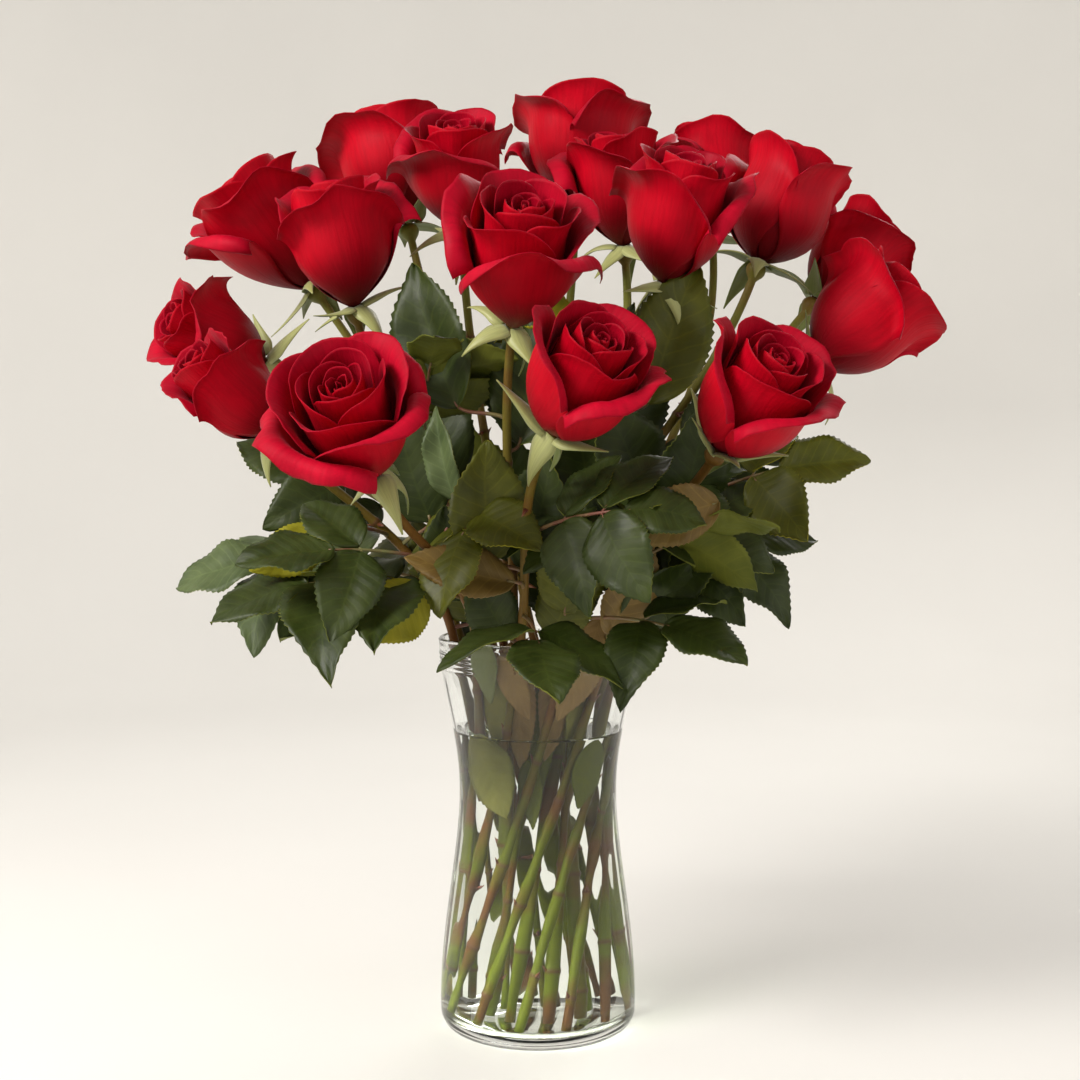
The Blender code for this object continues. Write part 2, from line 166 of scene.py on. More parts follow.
def soft_noise(tree, place, scale, detail):
    return put(tree, "TexNoise", {"Vector": place, "Scale": scale, "Detail": detail}).outputs["Fac"]


def bumped(tree, shader, height, strength, distance):
    bump = put(tree, "Bump", {"Height": height, "Strength": strength, "Distance": distance})
    tree.links.new(bump.outputs["Normal"], shader.inputs["Normal"])


def let_lamps_through(tree, shader, tint):
    """Light from a lamp passes straight through clear glass or water, a little tinted."""
    ray = put(tree, "LightPath")
    clear = put(tree, "BsdfTransparent", {"Color": (*tint, 1)})
    both = put(
        tree,
        "MixShader",
        {0: ray.outputs["Is Shadow Ray"], 1: shader.outputs["BSDF"], 2: clear.outputs["BSDF"]},
    )
    tree.links.new(both.outputs["Shader"], tree.nodes["Material Output"].inputs["Surface"])


def make_vase():
    wall_top = RIM_HEIGHT - LIP
    below_rings = RING_HEIGHTS[-1] - 2 * MM
    outside = [(vase_radius(h), h) for h in levels(wall_top - LIP, below_rings, 26)]
    for place, (radius, height) in enumerate(outside):
        nearest = min(abs(height - ring) for ring in RING_HEIGHTS)
        outside[place] = (radius + RING_STANDS * math.exp(-((nearest / RING_HALF_HEIGHT) ** 2)), height)
    outside += [(vase_radius(h), h) for h in levels(below_rings - 2 * MM, FOOT_HEIGHT, 40)]
    lip_middle, lip_reach = RIM_RADIUS - WALL / 2, WALL / 2 + 0.4 * MM
    lip = [
        (lip_middle + lip_reach * math.cos(angle), wall_top + LIP * math.sin(angle))
        for angle in levels(0, math.pi, 12)
    ]
    foot = [
        (FOOT_RADIUS - 0.15 * MM, 8.5 * MM),
        (FOOT_RADIUS - 0.9 * MM, 5.6 * MM),
        (FOOT_RADIUS - 2.1 * MM, 3.2 * MM),
        (BASE_RADIUS + 2.8 * MM, 1.3 * MM),
        (BASE_RADIUS + 0.8 * MM, 0.25 * MM),
        (BASE_RADIUS - 1 * MM, 0),
        (BASE_RADIUS - 4 * MM, 0.05 * MM),
        (BASE_RADIUS - 7 * MM, 0.8 * MM),
    ]
    under = [(BASE_RADIUS * share, PUNT * (1 - 0.4 * share**2)) for share in (0.72, 0.5, 0.25, 0)]
    floor = [(BASE_RADIUS * share, GLASS_FLOOR - 0.4 * MM * (1 - share)) for share in (0, 0.3, 0.6, 0.8)]
    rising = [
        (BASE_RADIUS - 3 * MM, GLASS_FLOOR + 0.5 * MM),
        (BASE_RADIUS + 0.2 * MM, GLASS_FLOOR + 1.9 * MM),
        (FOOT_RADIUS - WALL - 1.4 * MM, GLASS_FLOOR + 4.4 * MM),
        (FOOT_RADIUS - WALL - 0.5 * MM, GLASS_FLOOR + 7 * MM),
    ]
    inside = [(vase_radius(h) - WALL, h) for h in levels(GLASS_FLOOR + 10 * MM, wall_top - LIP, 60)]
    profile = lip[:1] + outside + foot + under + floor + rising + inside + lip[:0:-1]
    profile.append(profile[0])
    bm = spun(profile, FLUTES * STEPS_PER_FLUTE)
    for vert in bm.verts:
        height = vert.co.z
        radius = vert.co.xy.length
        if height < FLUTE_FOOT or radius > vase_radius(height) - WALL / 2:
            continue
        fading = swell((FLUTE_TOP - height) / FADE_AT_TOP, 1)
        fading *= swell((height - FLUTE_FOOT) / FADE_AT_FOOT, 1)
        wave = math.cos(FLUTES * math.atan2(vert.co.y, vert.co.x))
        vert.co.xy *= 1 + FLUTE_DEPTH * fading * (wave - 1) * 0.5 / radius
    return bm


glass, tree, shader = finish_of(
    "vase_clear_glass", IOR=1.5, Transmission_Weight=1.0, Specular_Tint=(0.4, 0.4, 0.4, 1)
)
place = object_place(tree)
wave = soft_noise(tree, place, 28.0, 1.0)
smear = soft_noise(tree, place, 9.0, 3.0)
tree.links.new(
    ramp(tree, smear, (0.3, (0.965, 0.985, 0.975)), (0.7, (0.985, 0.995, 0.99))),
    shader.inputs["Base Color"],
)
tree.links.new(ramp(tree, smear, (0.5, 0.0), (0.9, 0.02)), shader.inputs["Roughness"])
bumped(tree, shader, wave, 0.12, 0.4 * MM)
let_lamps_through(tree, shader, (0.94, 0.96, 0.95))

vase = add_piece("vase_glass_body", make_vase(), [glass])
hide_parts("vase")

# ---------------------------------------------------------------------------------------------
# The water: filled to just below the flare, drawn a little up the glass at its edge, and very
# faintly green from the cut stems.
# ---------------------------------------------------------------------------------------------
WATER_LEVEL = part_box("water")[1].z
BITE = 0.25 * MM  # the water's skin lies this deep in the glass, so that no air shows between
CLIMB, CLIMB_REACH = 1.4 * MM, 1.5 * MM  # how far it climbs at the wall, and within what distance
WATER_STEPS = 96


def make_water():
    low = GLASS_FLOOR - 0.4 * MM - BITE
    wall = vase_radius(WATER_LEVEL) - WALL + BITE
    top = [
        (radius, WATER_LEVEL - CLIMB * (1 - math.exp((radius - wall) / CLIMB_REACH)))
        for radius in levels(0, wall, 24)
    ]
    inside = [
        (vase_radius(h) - WALL + BITE, h)
        for h in levels(WATER_LEVEL - 0.1 * MM, GLASS_FLOOR + 10 * MM, 44)
    ]
    rounding = [
        (FOOT_RADIUS - WALL - 0.25 * MM, low + 7 * MM),
        (FOOT_RADIUS - WALL - 1.15 * MM, low + 4.4 * MM),
        (BASE_RADIUS + 0.45 * MM, low + 1.9 * MM),
        (BASE_RADIUS - 3 * MM, low + 0.5 * MM),
        (BASE_RADIUS * 0.6, low),
        (0, low),
    ]
    return spun(top + inside + rounding, WATER_STEPS)


water_finish, tree, shader = finish_of(
    "water_clear", IOR=1.333, Transmission_Weight=1.0, Specular_Tint=(0.2, 0.2, 0.2, 1)
)
place = object_place(tree)
ripple = soft_noise(tree, place, 16.0, 1.0)
tree.links.new(
    ramp(tree, ripple, (0.3, (0.955, 0.975, 0.93)), (0.7, (0.98, 0.99, 0.965))),
    shader.inputs["Base Color"],
)
tree.links.new(ramp(tree, ripple, (0.5, 0.0), (0.9, 0.01)), shader.inputs["Roughness"])
bumped(tree, shader, ripple, 0.08, 0.4 * MM)
let_lamps_through(tree, shader, (0.95, 0.96, 0.92))

water = add_piece("water_fill", make_water(), [water_finish])
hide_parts("water")

# ---------------------------------------------------------------------------------------------
# The stems: woody green shoots, cut square, standing in two rings twisted the same way.  Each
# has swollen joints where leaves grew, a few thorns, and a smooth pale hip under its bloom.
# ---------------------------------------------------------------------------------------------
STEM_RADIUS = 3.2 * MM
HIP_LENGTH = 11 * MM
TWIST = math.radians(-100)
Ring = namedtuple("Ring", "rim floor first_slot")
OUTER = Ring(rim=48.5 * MM, floor=43 * MM, first_slot=math.radians(-36))
INNER = Ring(rim=20 * MM, floor=21 * MM, first_slot=math.radians(-28))
BEND_PULL = 0.38  # how strongly each end of the bend keeps its direction
BEND_STEPS = 7
STRAIGHT_SHARES = (0.25, 0.5, 0.75)
CLEARANCE = 0.3 * MM  # between the cut end and the glass, and between the hip and the bloom

# heading and lean, in degrees, say which way a bloom faces; open runs from a closed bud, 0, to
# fully blown, 1.  Places and sizes are in millimetres.
Rose = namedtuple("Rose", "name ring x y z heading lean length width open")
ROSES = (
    Rose("rose_01", OUTER, 157, -2, 374, 352, 47, 74, 68, 0.3),
    Rose("rose_02", OUTER, 168, 74, 418, 18, 42, 66, 64, 0.5),
    Rose("rose_03", OUTER, 108, 102, 462, 100, 12, 68, 70, 0.5),
    Rose("rose_04", OUTER, 10, 120, 352, 86, 49, 68, 72, 0.6),
    Rose("rose_05", OUTER, -80, 92, 466, 150, 15, 74, 76, 0.5),
    Rose("rose_06", OUTER, -134, 54, 424, 190, 36, 80, 88, 0.8),
    Rose("rose_07", OUTER, -155, 6, 377, 214, 68, 66, 50, 0.35),
    Rose("rose_08", OUTER, -143, -50, 337, 216, 49, 64, 46, 0.1),
    Rose("rose_09", OUTER, -81, -115, 316, 255, 49, 72, 82, 0.85),
    Rose("rose_10", OUTER, 8, -110, 336, 299, 47, 72, 66, 0.4),
    Rose("rose_11", OUTER, 93, -90, 328, 302, 47, 72, 68, 0.4),
    Rose("rose_12", INNER, 127, 24, 435, 18, 22, 72, 68, 0.2),
    Rose("rose_13", INNER, 50, 35, 446, 243, 13, 68, 66, 0.5),
    Rose("rose_14", INNER, 23, 87, 475, 80, 12, 74, 86, 0.7),
    Rose("rose_15", INNER, -45, 45, 457, 266, 27, 68, 68, 0.5),
    Rose("rose_16", INNER, -103, 0, 408, 226, 16, 74, 66, 0.3),
    Rose("rose_17", INNER, -13, -60, 393, 280, 38, 80, 77, 0.65),
    Rose("rose_18", INNER, 69, -25, 419, 295, 23, 74, 68, 0.4),
)
STEM_SIDES = 10
STEM_SHARE, STEM_TAPER = 0.84, 0.08  # how thick the bare shoot is beside STEM_RADIUS, and its loss
JOINT_SWELLING = 0.2  # of a joint, beside the stem's radius
JOINT_HALF_LENGTH = 1.7 * MM
FIRST_JOINT, NEXT_JOINT = (14, 45), (40, 68)  # least and most millimetres to a joint
BARE_TOP = 35 * MM  # no joint grows nearer than this to the hip
ROUND_A_JOINT = (-2.6, -1.4, -0.6, 0, 0.6, 1.4, 2.6)
# the hip's outline: share of the way up it, and radius in millimetres
HIP = ((0.12, 3.3), (0.3, 4.9), (0.48, 5.8), (0.66, 5.9), (0.82, 5.2), (0.94, 4.2), (1.0, 3.0))
THORNS_FROM = 232 * MM
THORN_LENGTH, BUD_LENGTH = 4.6 * MM, 2.4 * MM
SPUR_RADIUS, SPUR_TIP = 1.5 * MM, 0.12 * MM
BARK_TOP = 0.46  # the height at which the bark has its topmost colour


def direction(heading, lean):
    """A unit vector from a heading about Z and a lean from upright, both in degrees."""
    heading, lean = math.radians(heading), math.radians(lean)
    flat = math.sin(lean)
    return Vector((math.cos(heading) * flat, math.sin(heading) * flat, math.cos(lean)))


def ring_point(radius, angle, height):
    return Vector((radius * math.cos(angle), radius * math.sin(angle), height))


def stem_anchors(rose):
    """The stem's cut end, its place at the rim, the foot of its hip, its top and its bend."""
    ring = [other for other in ROSES if other.ring is rose.ring]
    slot = rose.ring.first_slot + math.tau * ring.index(rose) / len(ring)
    rim = ring_point(rose.ring.rim, slot, 222 * MM)
    cut = ring_point(rose.ring.floor, slot + TWIST, GLASS_FLOOR)
    along = (rim - cut).normalized()
    cut.z += CLEARANCE + STEM_RADIUS * math.sin(along.angle((0, 0, 1)))
    facing = direction(rose.heading, rose.lean)
    head = Vector((rose.x, rose.y, rose.z)) * MM - facing * CLEARANCE
    hip_foot = head - facing * HIP_LENGTH
    pull = (hip_foot - rim).length * BEND_PULL
    return cut, rim, hip_foot, head, (rim + along * pull, hip_foot - facing * pull)


def on_bend(start, pulls, end, share):
    rest = 1 - share
    first, second = pulls
    return (
        start * rest**3 + first * 3 * rest**2 * share + second * 3 * rest * share**2 + end * share**3
    )


def faces_of(verts):
    return {face for vert in verts for face in vert.link_faces}


def sweep(bm, spots, sides, layer=None, marks=()):
    """Wraps a flat grid round a line of (point, radius) spots, drawn shut at both ends.

    Each row's mark goes into the layer, beside how far round the bar a corner is.
    """
    shut = 0.001 * MM
    last = len(spots) - 1
    aims = [(spots[min(k + 1, last)][0] - spots[max(k - 1, 0)][0]).normalized() for k in range(last + 1)]
    aims = aims[:1] + aims + aims[-1:]
    spots = [(spots[0][0], shut)] + spots + [(spots[-1][0], shut)]
    rows = len(spots) - 1
    grid = bmesh.ops.create_grid(bm, x_segments=rows, y_segments=sides, size=1)["verts"]
    across = [aims[0].orthogonal().normalized()]
    for before, after in zip(aims, aims[1:]):
        carried = across[-1].copy()
        carried.rotate(before.rotation_difference(after))
        across.append((carried - after * carried.dot(after)).normalized())
    if layer:
        marks = [marks[0], *marks, marks[-1]]
        for face in faces_of(grid):
            for loop in face.loops:
                row = round((loop.vert.co.x + 1) / 2 * rows)
                loop[layer].uv = ((loop.vert.co.y + 1) / 2, marks[row])
    for vert in grid:
        row = round((vert.co.x + 1) / 2 * rows)
        turn = (vert.co.y + 1) * math.pi
        point, radius = spots[row]
        other = aims[row].cross(across[row])
        vert.co = point + (across[row] * math.cos(turn) + other * math.sin(turn)) * radius
    bmesh.ops.remove_doubles(bm, verts=grid, dist=0.004 * MM)


def stem_spots(rose, dice):
    """The stem and its hip as (point, radius) spots, each spot's mark, and its joints' rows."""
    cut, rim, hip_foot, head, pulls = stem_anchors(rose)
    line = [cut.lerp(rim, share) for share in levels(0, 1, 30)][:-1]
    line += [on_bend(rim, pulls, hip_foot, share) for share in levels(0, 1, 40)]
    reached = [0.0]
    for before, after in zip(line, line[1:]):
        reached.append(reached[-1] + (after - before).length)
    total = reached[-1]
    joints, place = [], dice.uniform(*FIRST_JOINT) * MM
    while place < total - BARE_TOP:
        joints.append(place)
        place += dice.uniform(*NEXT_JOINT) * MM
    places = levels(0, total, 60)
    places += [joint + step * MM for joint in joints for step in ROUND_A_JOINT]
    spots, marks, rows, before = [], [], [], -1.0
    for place in sorted(places):
        if place - before < 0.35 * MM:
            continue
        before = place
        span = next(k for k in range(1, len(line)) if reached[k] >= place - 1e-9)
        share = (place - reached[span - 1]) / (reached[span] - reached[span - 1])
        point = line[span - 1].lerp(line[span], share)
        near = min(abs(place - joint) for joint in joints)
        mark = math.exp(-((near / JOINT_HALF_LENGTH) ** 2))
        radius = STEM_RADIUS * (STEM_SHARE - STEM_TAPER * place / total) * (1 + JOINT_SWELLING * mark)
        radius *= 1 + 0.03 * noise.noise(point * 90)
        if near < 0.1 * MM:
            rows.append(len(spots))
        spots.append((point, radius))
        marks.append(mark)
    spots += [(hip_foot.lerp(head, share), radius * MM) for share, radius in HIP]
    return spots, marks + [0.0] * len(HIP), rows


def add_spur(bm, spots, row, length, upward, dice):
    """A thorn or a bud: a small cone standing off the stem and leaning along it."""
    point, radius = spots[row]
    aim = (spots[row + 1][0] - point).normalized()
    out = aim.orthogonal().normalized()
    out.rotate(Matrix.Rotation(dice.uniform(0, math.tau), 3, aim))
    cone = bmesh.ops.create_cone(
        bm, cap_ends=True, segments=7, radius1=SPUR_RADIUS, radius2=SPUR_TIP, depth=length
    )["verts"]
    turn = out.to_track_quat("Z", "Y").to_matrix()
    for vert in cone:
        share = max(vert.co.z / length + 0.5, 0)
        vert.co = turn @ vert.co + point + out * (radius * 0.8 + length / 2)
        vert.co += aim * (share**1.5 * upward)
    for face in faces_of(cone):
        face.material_index = 1


def make_shoot(rose, dice):
    bm = bmesh.new()
    layer = bm.loops.layers.uv.new("bark")
    spots, marks, joints = stem_spots(rose, dice)
    sweep(bm, spots, STEM_SIDES, layer, marks)
    for row in joints:
        add_spur(bm, spots, row, BUD_LENGTH, 3.2 * MM, dice)
    high = [row for row, (point, _) in enumerate(spots[:-14]) if point.z > THORNS_FROM]
    for row in high[4 :: dice.choice((11, 14, 17))]:
        add_spur(bm, spots, row, THORN_LENGTH, -2.0 * MM, dice)
    bmesh.ops.recalc_face_normals(bm, faces=bm.faces)
    return bm


def mixed(tree, share, first, second, how="MIX"):
    """The second colour laid over the first by a share."""
    inputs = {"Fac": share, "Color1": first, "Color2": second}
    return put(tree, "MixRGB", inputs, blend_type=how).outputs["Color"]


bark, tree, shader = finish_of("stem_bark", Roughness=0.5, Specular_IOR_Level=0.2)
place = object_place(tree)
height = put(tree, "SeparateXYZ", {"Vector": place}).outputs["Z"]
patches = soft_noise(tree, place, 26.0, 3.0)
drawn_up = put(tree, "Mapping", {"Vector": place, "Scale": (1, 1, 0.06)}).outputs["Vector"]
fibres = soft_noise(tree, drawn_up, 1500.0, 2.0)
climb = put(tree, "MapRange", {"Value": height, "From Min": 0.0, "From Max": BARK_TOP}).outputs["Result"]
low_to_high = ramp(
    tree,
    climb,
    (0.0, (0.12, 0.15, 0.001)),
    (0.3, (0.09, 0.1, 0.002)),
    (0.46, (0.12, 0.075, 0.008)),
    (0.62, (0.15, 0.1, 0.014)),
    (1.0, (0.17, 0.19, 0.03)),
)
reddish = ramp(
    tree,
    climb,
    (0.0, (0.1, 0.03, 0.006)),
    (0.45, (0.15, 0.05, 0.01)),
    (1.0, (0.17, 0.11, 0.02)),
)
where_red = ramp(tree, patches, (0.46, 0.0), (0.6, 0.9))
patched = mixed(tree, where_red, low_to_high, reddish)
streaked = mixed(tree, 0.35, patched, ramp(tree, fibres, (0.3, 0.55), (0.7, 1.0)), "MULTIPLY")
bark_sheet = put(tree, "UVMap", uv_map="bark").outputs["UV"]
at_joint = put(tree, "SeparateXYZ", {"Vector": bark_sheet}).outputs["Y"]
scarred = ramp(tree, at_joint, (0.25, 0.0), (1.0, 0.8))
ringed = mixed(tree, scarred, streaked, (0.1, 0.04, 0.02, 1))
tree.links.new(ringed, shader.inputs["Base Color"])
bumped(tree, shader, fibres, 0.35, 0.12 * MM)


def mottled_finish(name, scale, detail, dark, light, bump=0.0, **fixed):
    """A dull finish that wanders between two colours."""
    material, tree, shader = finish_of(name, **fixed)
    mottle = soft_noise(tree, object_place(tree), scale, detail)
    tree.links.new(ramp(tree, mottle, dark, light), shader.inputs["Base Color"])
    if bump:
        bumped(tree, shader, mottle, bump, 0.1 * MM)
    return material


thorn_finish = mottled_finish(
    "thorn_bark", 300.0, 2.0, (0.35, (0.13, 0.03, 0.015)), (0.7, (0.24, 0.1, 0.035)), Roughness=0.4
)

for number, rose in enumerate(ROSES):
    shoot = make_shoot(rose, random.Random(100 + number))
    stalk = add_piece(rose.name + "_shoot", shoot, [bark, thorn_finish])
    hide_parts(rose.name + "_stem")

# ---------------------------------------------------------------------------------------------
# The blooms: soft velvety petals, wound tight in the middle and rolled back at the rim, with
# five long pale sepals folded back over the hip.  Petals and sepals are thin sheets.
# ---------------------------------------------------------------------------------------------
PETAL_ROWS, PETAL_COLUMNS = 20, 20
PETAL_THICKNESS = 0.35 * MM
PETAL_COUNT = 22
NEXT_PETAL = 137.5  # degrees round from one petal to the next
HELD_IN = -1.2  # the skew of an edge that a later petal covers, so that it stays inside
FOLD_FROM = 0.72  # how far up a petal starts to fold out or in
EDGE_ROLL = 7 * MM
CRUMPLE = 3.2 * MM
FITTED = 0.985  # the share of a bloom's corners that keep within its width
SEPALS, SEPAL_ROWS, SEPAL_COLUMNS = 5, 14, 4
SEPAL_HALF_WIDTH = 7.6 * MM
SEPAL_LENGTHS = (26, 37)  # least and most, in millimetres
SEPAL_RISE, SEPAL_FALL = (-60, 45), (-20, 90)  # its first slope and its bend down, in degrees
# share is the width of the cup that a petal stands in beside the whole bloom's, half_turn how
# far round it reaches each way, and fold how much its top leans out.  skew is how much more its
# left and its right edge fold, and roll how far each of them turns back.
Petal = namedtuple("Petal", "turn share tall half_turn fold skew tip tuck roll wave seed")


def ease(low, high, value):
    value = min(max((value - low) / (high - low), 0), 1)
    return value * value * (3 - 2 * value)


def cup(openness, up):
    """The bloom's outline: its half-width at a share of its height, 1 at the widest."""
    widest = 0.36 + 0.42 * openness
    if up < widest:
        return 0.1 + 0.9 * (1 - (1 - up / widest) ** (2.6 - 0.5 * openness))
    return 1 - 0.34 * (1 - openness) * ((up - widest) / (1 - widest)) ** 1.7


def petal_line(rose, petal, across, rows, seed):
    """How far out and up one line of the petal is at each row, from its foot to its top edge."""
    edge = abs(across)
    angle = petal.turn + across * petal.half_turn
    tall = petal.tall * (1 - 0.12 * edge**2.2 - 0.16 * edge**6)
    tall += petal.tall * petal.tip * max(0, 1 - edge / 0.5) ** 1.5
    half = rose.width * MM / 2 * petal.share
    flare = noise.noise((math.cos(angle) * 1.3, math.sin(angle) * 1.3, seed * 1.7))
    fold = petal.fold + abs(petal.fold) * (0.25 + 1.1 * flare + petal.skew[across > 0] * edge**1.5)
    whole = rose.length * MM
    spots, last, angle = {}, 0.0, 0.0
    radius = height = 0.0
    for along in rows:
        if along <= FOLD_FROM:
            before = (radius, height)
            height = tall * along
            radius = half * cup(rose.open, height / whole)
            angle = math.atan2(radius - before[0], max(height - before[1], 1e-6))
        else:
            past = (along - FOLD_FROM) / (1 - FOLD_FROM)
            lean = angle + fold * past**1.25
            radius += tall * (along - last) * math.sin(lean)
            height += tall * (along - last) * math.cos(lean)
        last = along
        spots[along] = (radius, height)
    return spots


def shape_petal(verts, rose, petal, seed):
    """Bends a flat sheet, -1..1 wide and 0..1 long, into a petal standing about the Z axis."""
    for vert in verts:
        vert.co.x, vert.co.y = round(vert.co.x, 5), round(vert.co.y, 5)
    rows = sorted({vert.co.y for vert in verts})
    lines = {
        across: petal_line(rose, petal, across, rows, seed) for across in {vert.co.x for vert in verts}
    }
    for vert in verts:
        across, along = vert.co.x, vert.co.y
        edge = abs(across)
        radius, height = lines[across][along]
        reach = petal.half_turn * (0.42 + 0.58 * math.sin(math.pi / 2 * min(along / 0.6, 1)) ** 1.1)
        reach *= 1 - 0.1 * max(0, (along - 0.6) / 0.4) ** 2
        radius *= 1 + petal.tuck * across
        turned_edge = max(0, (edge - 0.7) / 0.3) ** 2 * ease(0.3, 0.85, along)
        radius += petal.roll[across > 0] * turned_edge
        angle = petal.turn + across * reach
        whole = noise.noise((math.cos(angle) * 1.1, math.sin(angle) * 1.1, height * 22 + seed))
        own = noise.noise((across * 2.6, along * 3.2, petal.seed))
        frill = noise.noise((across * 6.5, along * 2.5, petal.seed + 9))
        crumple = whole * CRUMPLE * along
        crumple += petal.wave * ((0.6 + own) * along**3 + (0.5 + frill) * along**6)
        radius += crumple * min(1, petal.share * 1.6)
        height += own * petal.wave * along**4
        vert.co = ring_point(radius, angle, height)


def petals_of(rose, seed):
    """The petals in order from the heart out, each most of half a turn on from the last."""
    dice = random.Random(seed)
    turn = dice.uniform(0, math.tau)
    for i in range(PETAL_COUNT):
        outer = i / (PETAL_COUNT - 1)
        turn += math.radians(NEXT_PETAL + dice.uniform(-4, 4))
        last_few = max(0, (outer - 0.55) / 0.45) ** 1.5
        last_three = max(0, (outer - 0.84) / 0.16)
        fold = -20 + 30 * outer + (22 + 84 * rose.open) * last_few * dice.uniform(0.92, 1.08)
        covered = (i < PETAL_COUNT - 2, i < PETAL_COUNT - 3)  # its left and its right edge
        tip = dice.choice((0.01, 0.02, 0.03, 0.05)) * last_few
        rolled = dice.uniform(0.6, 0.75) * EDGE_ROLL * last_three**2
        yield Petal(
            turn=turn,
            share=0.06 + 0.91 * outer**1.35,
            tall=rose.length * MM * (0.87 + 0.13 * outer - 0.09 * last_few + dice.uniform(-0.02, 0.025)),
            half_turn=1.25 + 1.3 * (1 - outer) ** 1.5,
            fold=math.radians(fold),
            skew=[HELD_IN if held else 0.7 * last_three for held in covered],
            tip=tip,
            tuck=0.3 * (1 - outer) ** 1.5,
            roll=[0 if held else rolled for held in covered],
            wave=(0.5 + 0.9 * last_few + 1.6 * last_three) * MM,
            seed=seed * 7.3 + i * 3.1,
        )


def marked_sheet(bm, layer, rows, columns):
    """A flat grid, -1..1 along X and Y; the layer says how far across and along each corner is."""
    grid = bmesh.ops.create_grid(bm, x_segments=rows, y_segments=columns, size=1)["verts"]
    for face in faces_of(grid):
        for loop in face.loops:
            loop[layer].uv = ((loop.vert.co.y + 1) / 2, (loop.vert.co.x + 1) / 2)
    return grid


def make_sepal(bm, layer, turn, dice):
    """A long pointed sepal, springing from the top of the hip and curling back down."""
    grid = marked_sheet(bm, layer, SEPAL_ROWS, SEPAL_COLUMNS)
    for face in faces_of(grid):
        face.material_index = 2
    length = dice.uniform(*SEPAL_LENGTHS) * MM
    rise, fall = math.radians(dice.uniform(*SEPAL_RISE)), math.radians(dice.uniform(*SEPAL_FALL))
    sway = dice.uniform(-0.25, 0.25)
    line, out, up = {}, 3.6 * MM, 0.2 * MM
    for row in range(SEPAL_ROWS + 1):
        share = row / SEPAL_ROWS
        angle = rise - fall * share**0.8
        line[row] = (out, up, angle)
        out += length / SEPAL_ROWS * math.cos(angle)
        up += length / SEPAL_ROWS * math.sin(angle)
    around = Matrix.Rotation(turn, 3, "Z")
    for vert in grid:
        share, across = (vert.co.x + 1) / 2, vert.co.y
        out, up, angle = line[round(share * SEPAL_ROWS)]
        half = SEPAL_HALF_WIDTH * (1 - share) ** 1.15 * (0.7 + 0.5 * min(share * 4, 1)) + 0.35 * MM
        cupped = -0.35 * across * across * half
        aside = across * half + sway * share**1.5 * length * 0.5
        place = Vector((out - math.sin(angle) * cupped, aside, up + math.cos(angle) * cupped))
        vert.co = around @ place


def make_bloom(rose, seed):
    bm = bmesh.new()
    layer = bm.loops.layers.uv.new("sheet")
    for petal in petals_of(rose, seed):
        grid = bmesh.ops.create_grid(bm, x_segments=PETAL_COLUMNS, y_segments=PETAL_ROWS, size=1)["verts"]
        for vert in grid:
            across, along = vert.co.x, (vert.co.y + 1) / 2
            vert.co = (math.copysign(abs(across) ** 0.85, across), 1 - (1 - along) ** 1.3, 0)
        for face in faces_of(grid):
            for loop in face.loops:
                loop[layer].uv = (loop.vert.co.x / 2 + 0.5, loop.vert.co.y)
        shape_petal(grid, rose, petal, seed)
    reaches = sorted(vert.co.xy.length for vert in bm.verts)
    slimmer = min(1, rose.width * MM / 2 / reaches[int(FITTED * len(reaches))])
    bmesh.ops.scale(bm, vec=(slimmer, slimmer, 1), verts=bm.verts)
    dice = random.Random(seed + 50)
    first = dice.uniform(0, math.tau)
    for k in range(SEPALS):
        make_sepal(bm, layer, first + math.tau * (k + dice.uniform(-0.12, 0.12)) / SEPALS, dice)
    facing = direction(rose.heading, rose.lean)
    turn = facing.to_track_quat("Z", "Y").to_matrix()
    foot = Vector((rose.x, rose.y, rose.z)) * MM
    for vert in bm.verts:
        vert.co = turn @ vert.co + foot
    return bm


def petal_finish(name, deep, full, painted_lit_top, sheen, tint):
    """Petal skin: painted shade, darker towards the foot deep in the bloom and lighter near the top, with
    fine veins along it and a soft velvet sheen.
    """
    material, tree, shader = finish_of(
        name,
        Sheen_Weight=sheen,
        Sheen_Roughness=0.35,
        Sheen_Tint=(*tint, 1),
        Specular_IOR_Level=0.22,
        Specular_Tint=(1.0, 0.35, 0.42, 1),
    )
    sheet = put(tree, "UVMap", uv_map="sheet").outputs["UV"]
    place = object_place(tree)
    along = put(tree, "SeparateXYZ", {"Vector": sheet}).outputs["Y"]
    lengthwise = put(tree, "Mapping", {"Vector": sheet, "Scale": (34, 3.2, 1)}).outputs["Vector"]
    veins = soft_noise(tree, lengthwise, 1.0, 3.0)
    clouds = soft_noise(tree, place, 42.0, 2.0)
    # painted shade and light: deep at the foot, where the inside of the bloom lies in shade, and brightest
    # near the top edges, which are most open to the lamps; the very rim goes back to the full colour
    body = ramp(tree, along, (0.08, deep), (0.5, full), (0.9, painted_lit_top), (1.0, full))
    shaded = mixed(tree, 0.5, body, ramp(tree, clouds, (0.3, 0.5), (0.7, 1.0)), "MULTIPLY")
    veined = mixed(tree, 0.34, shaded, ramp(tree, veins, (0.35, 0.62), (0.6, 1.0)), "MULTIPLY")
    tree.links.new(veined, shader.inputs["Base Color"])
    tree.links.new(ramp(tree, clouds, (0.3, 0.5), (0.7, 0.66)), shader.inputs["Roughness"])
    bumped(tree, shader, veins, 0.7, 0.4 * MM)
    return material


# in each, the first colour is the painted shade at the petal's foot and the third the painted light near
# its top
petal_face = petal_finish(
    "petal_face", (0.11, 0.0, 0.003), (0.43, 0.0, 0.009), (0.54, 0.0, 0.012), 0.02, (1, 0.1, 0.15)
)
petal_back = petal_finish(
    "petal_back", (0.17, 0.0, 0.006), (0.35, 0.0, 0.012), (0.46, 0.001, 0.018), 0.1, (1, 0.22, 0.3)
)


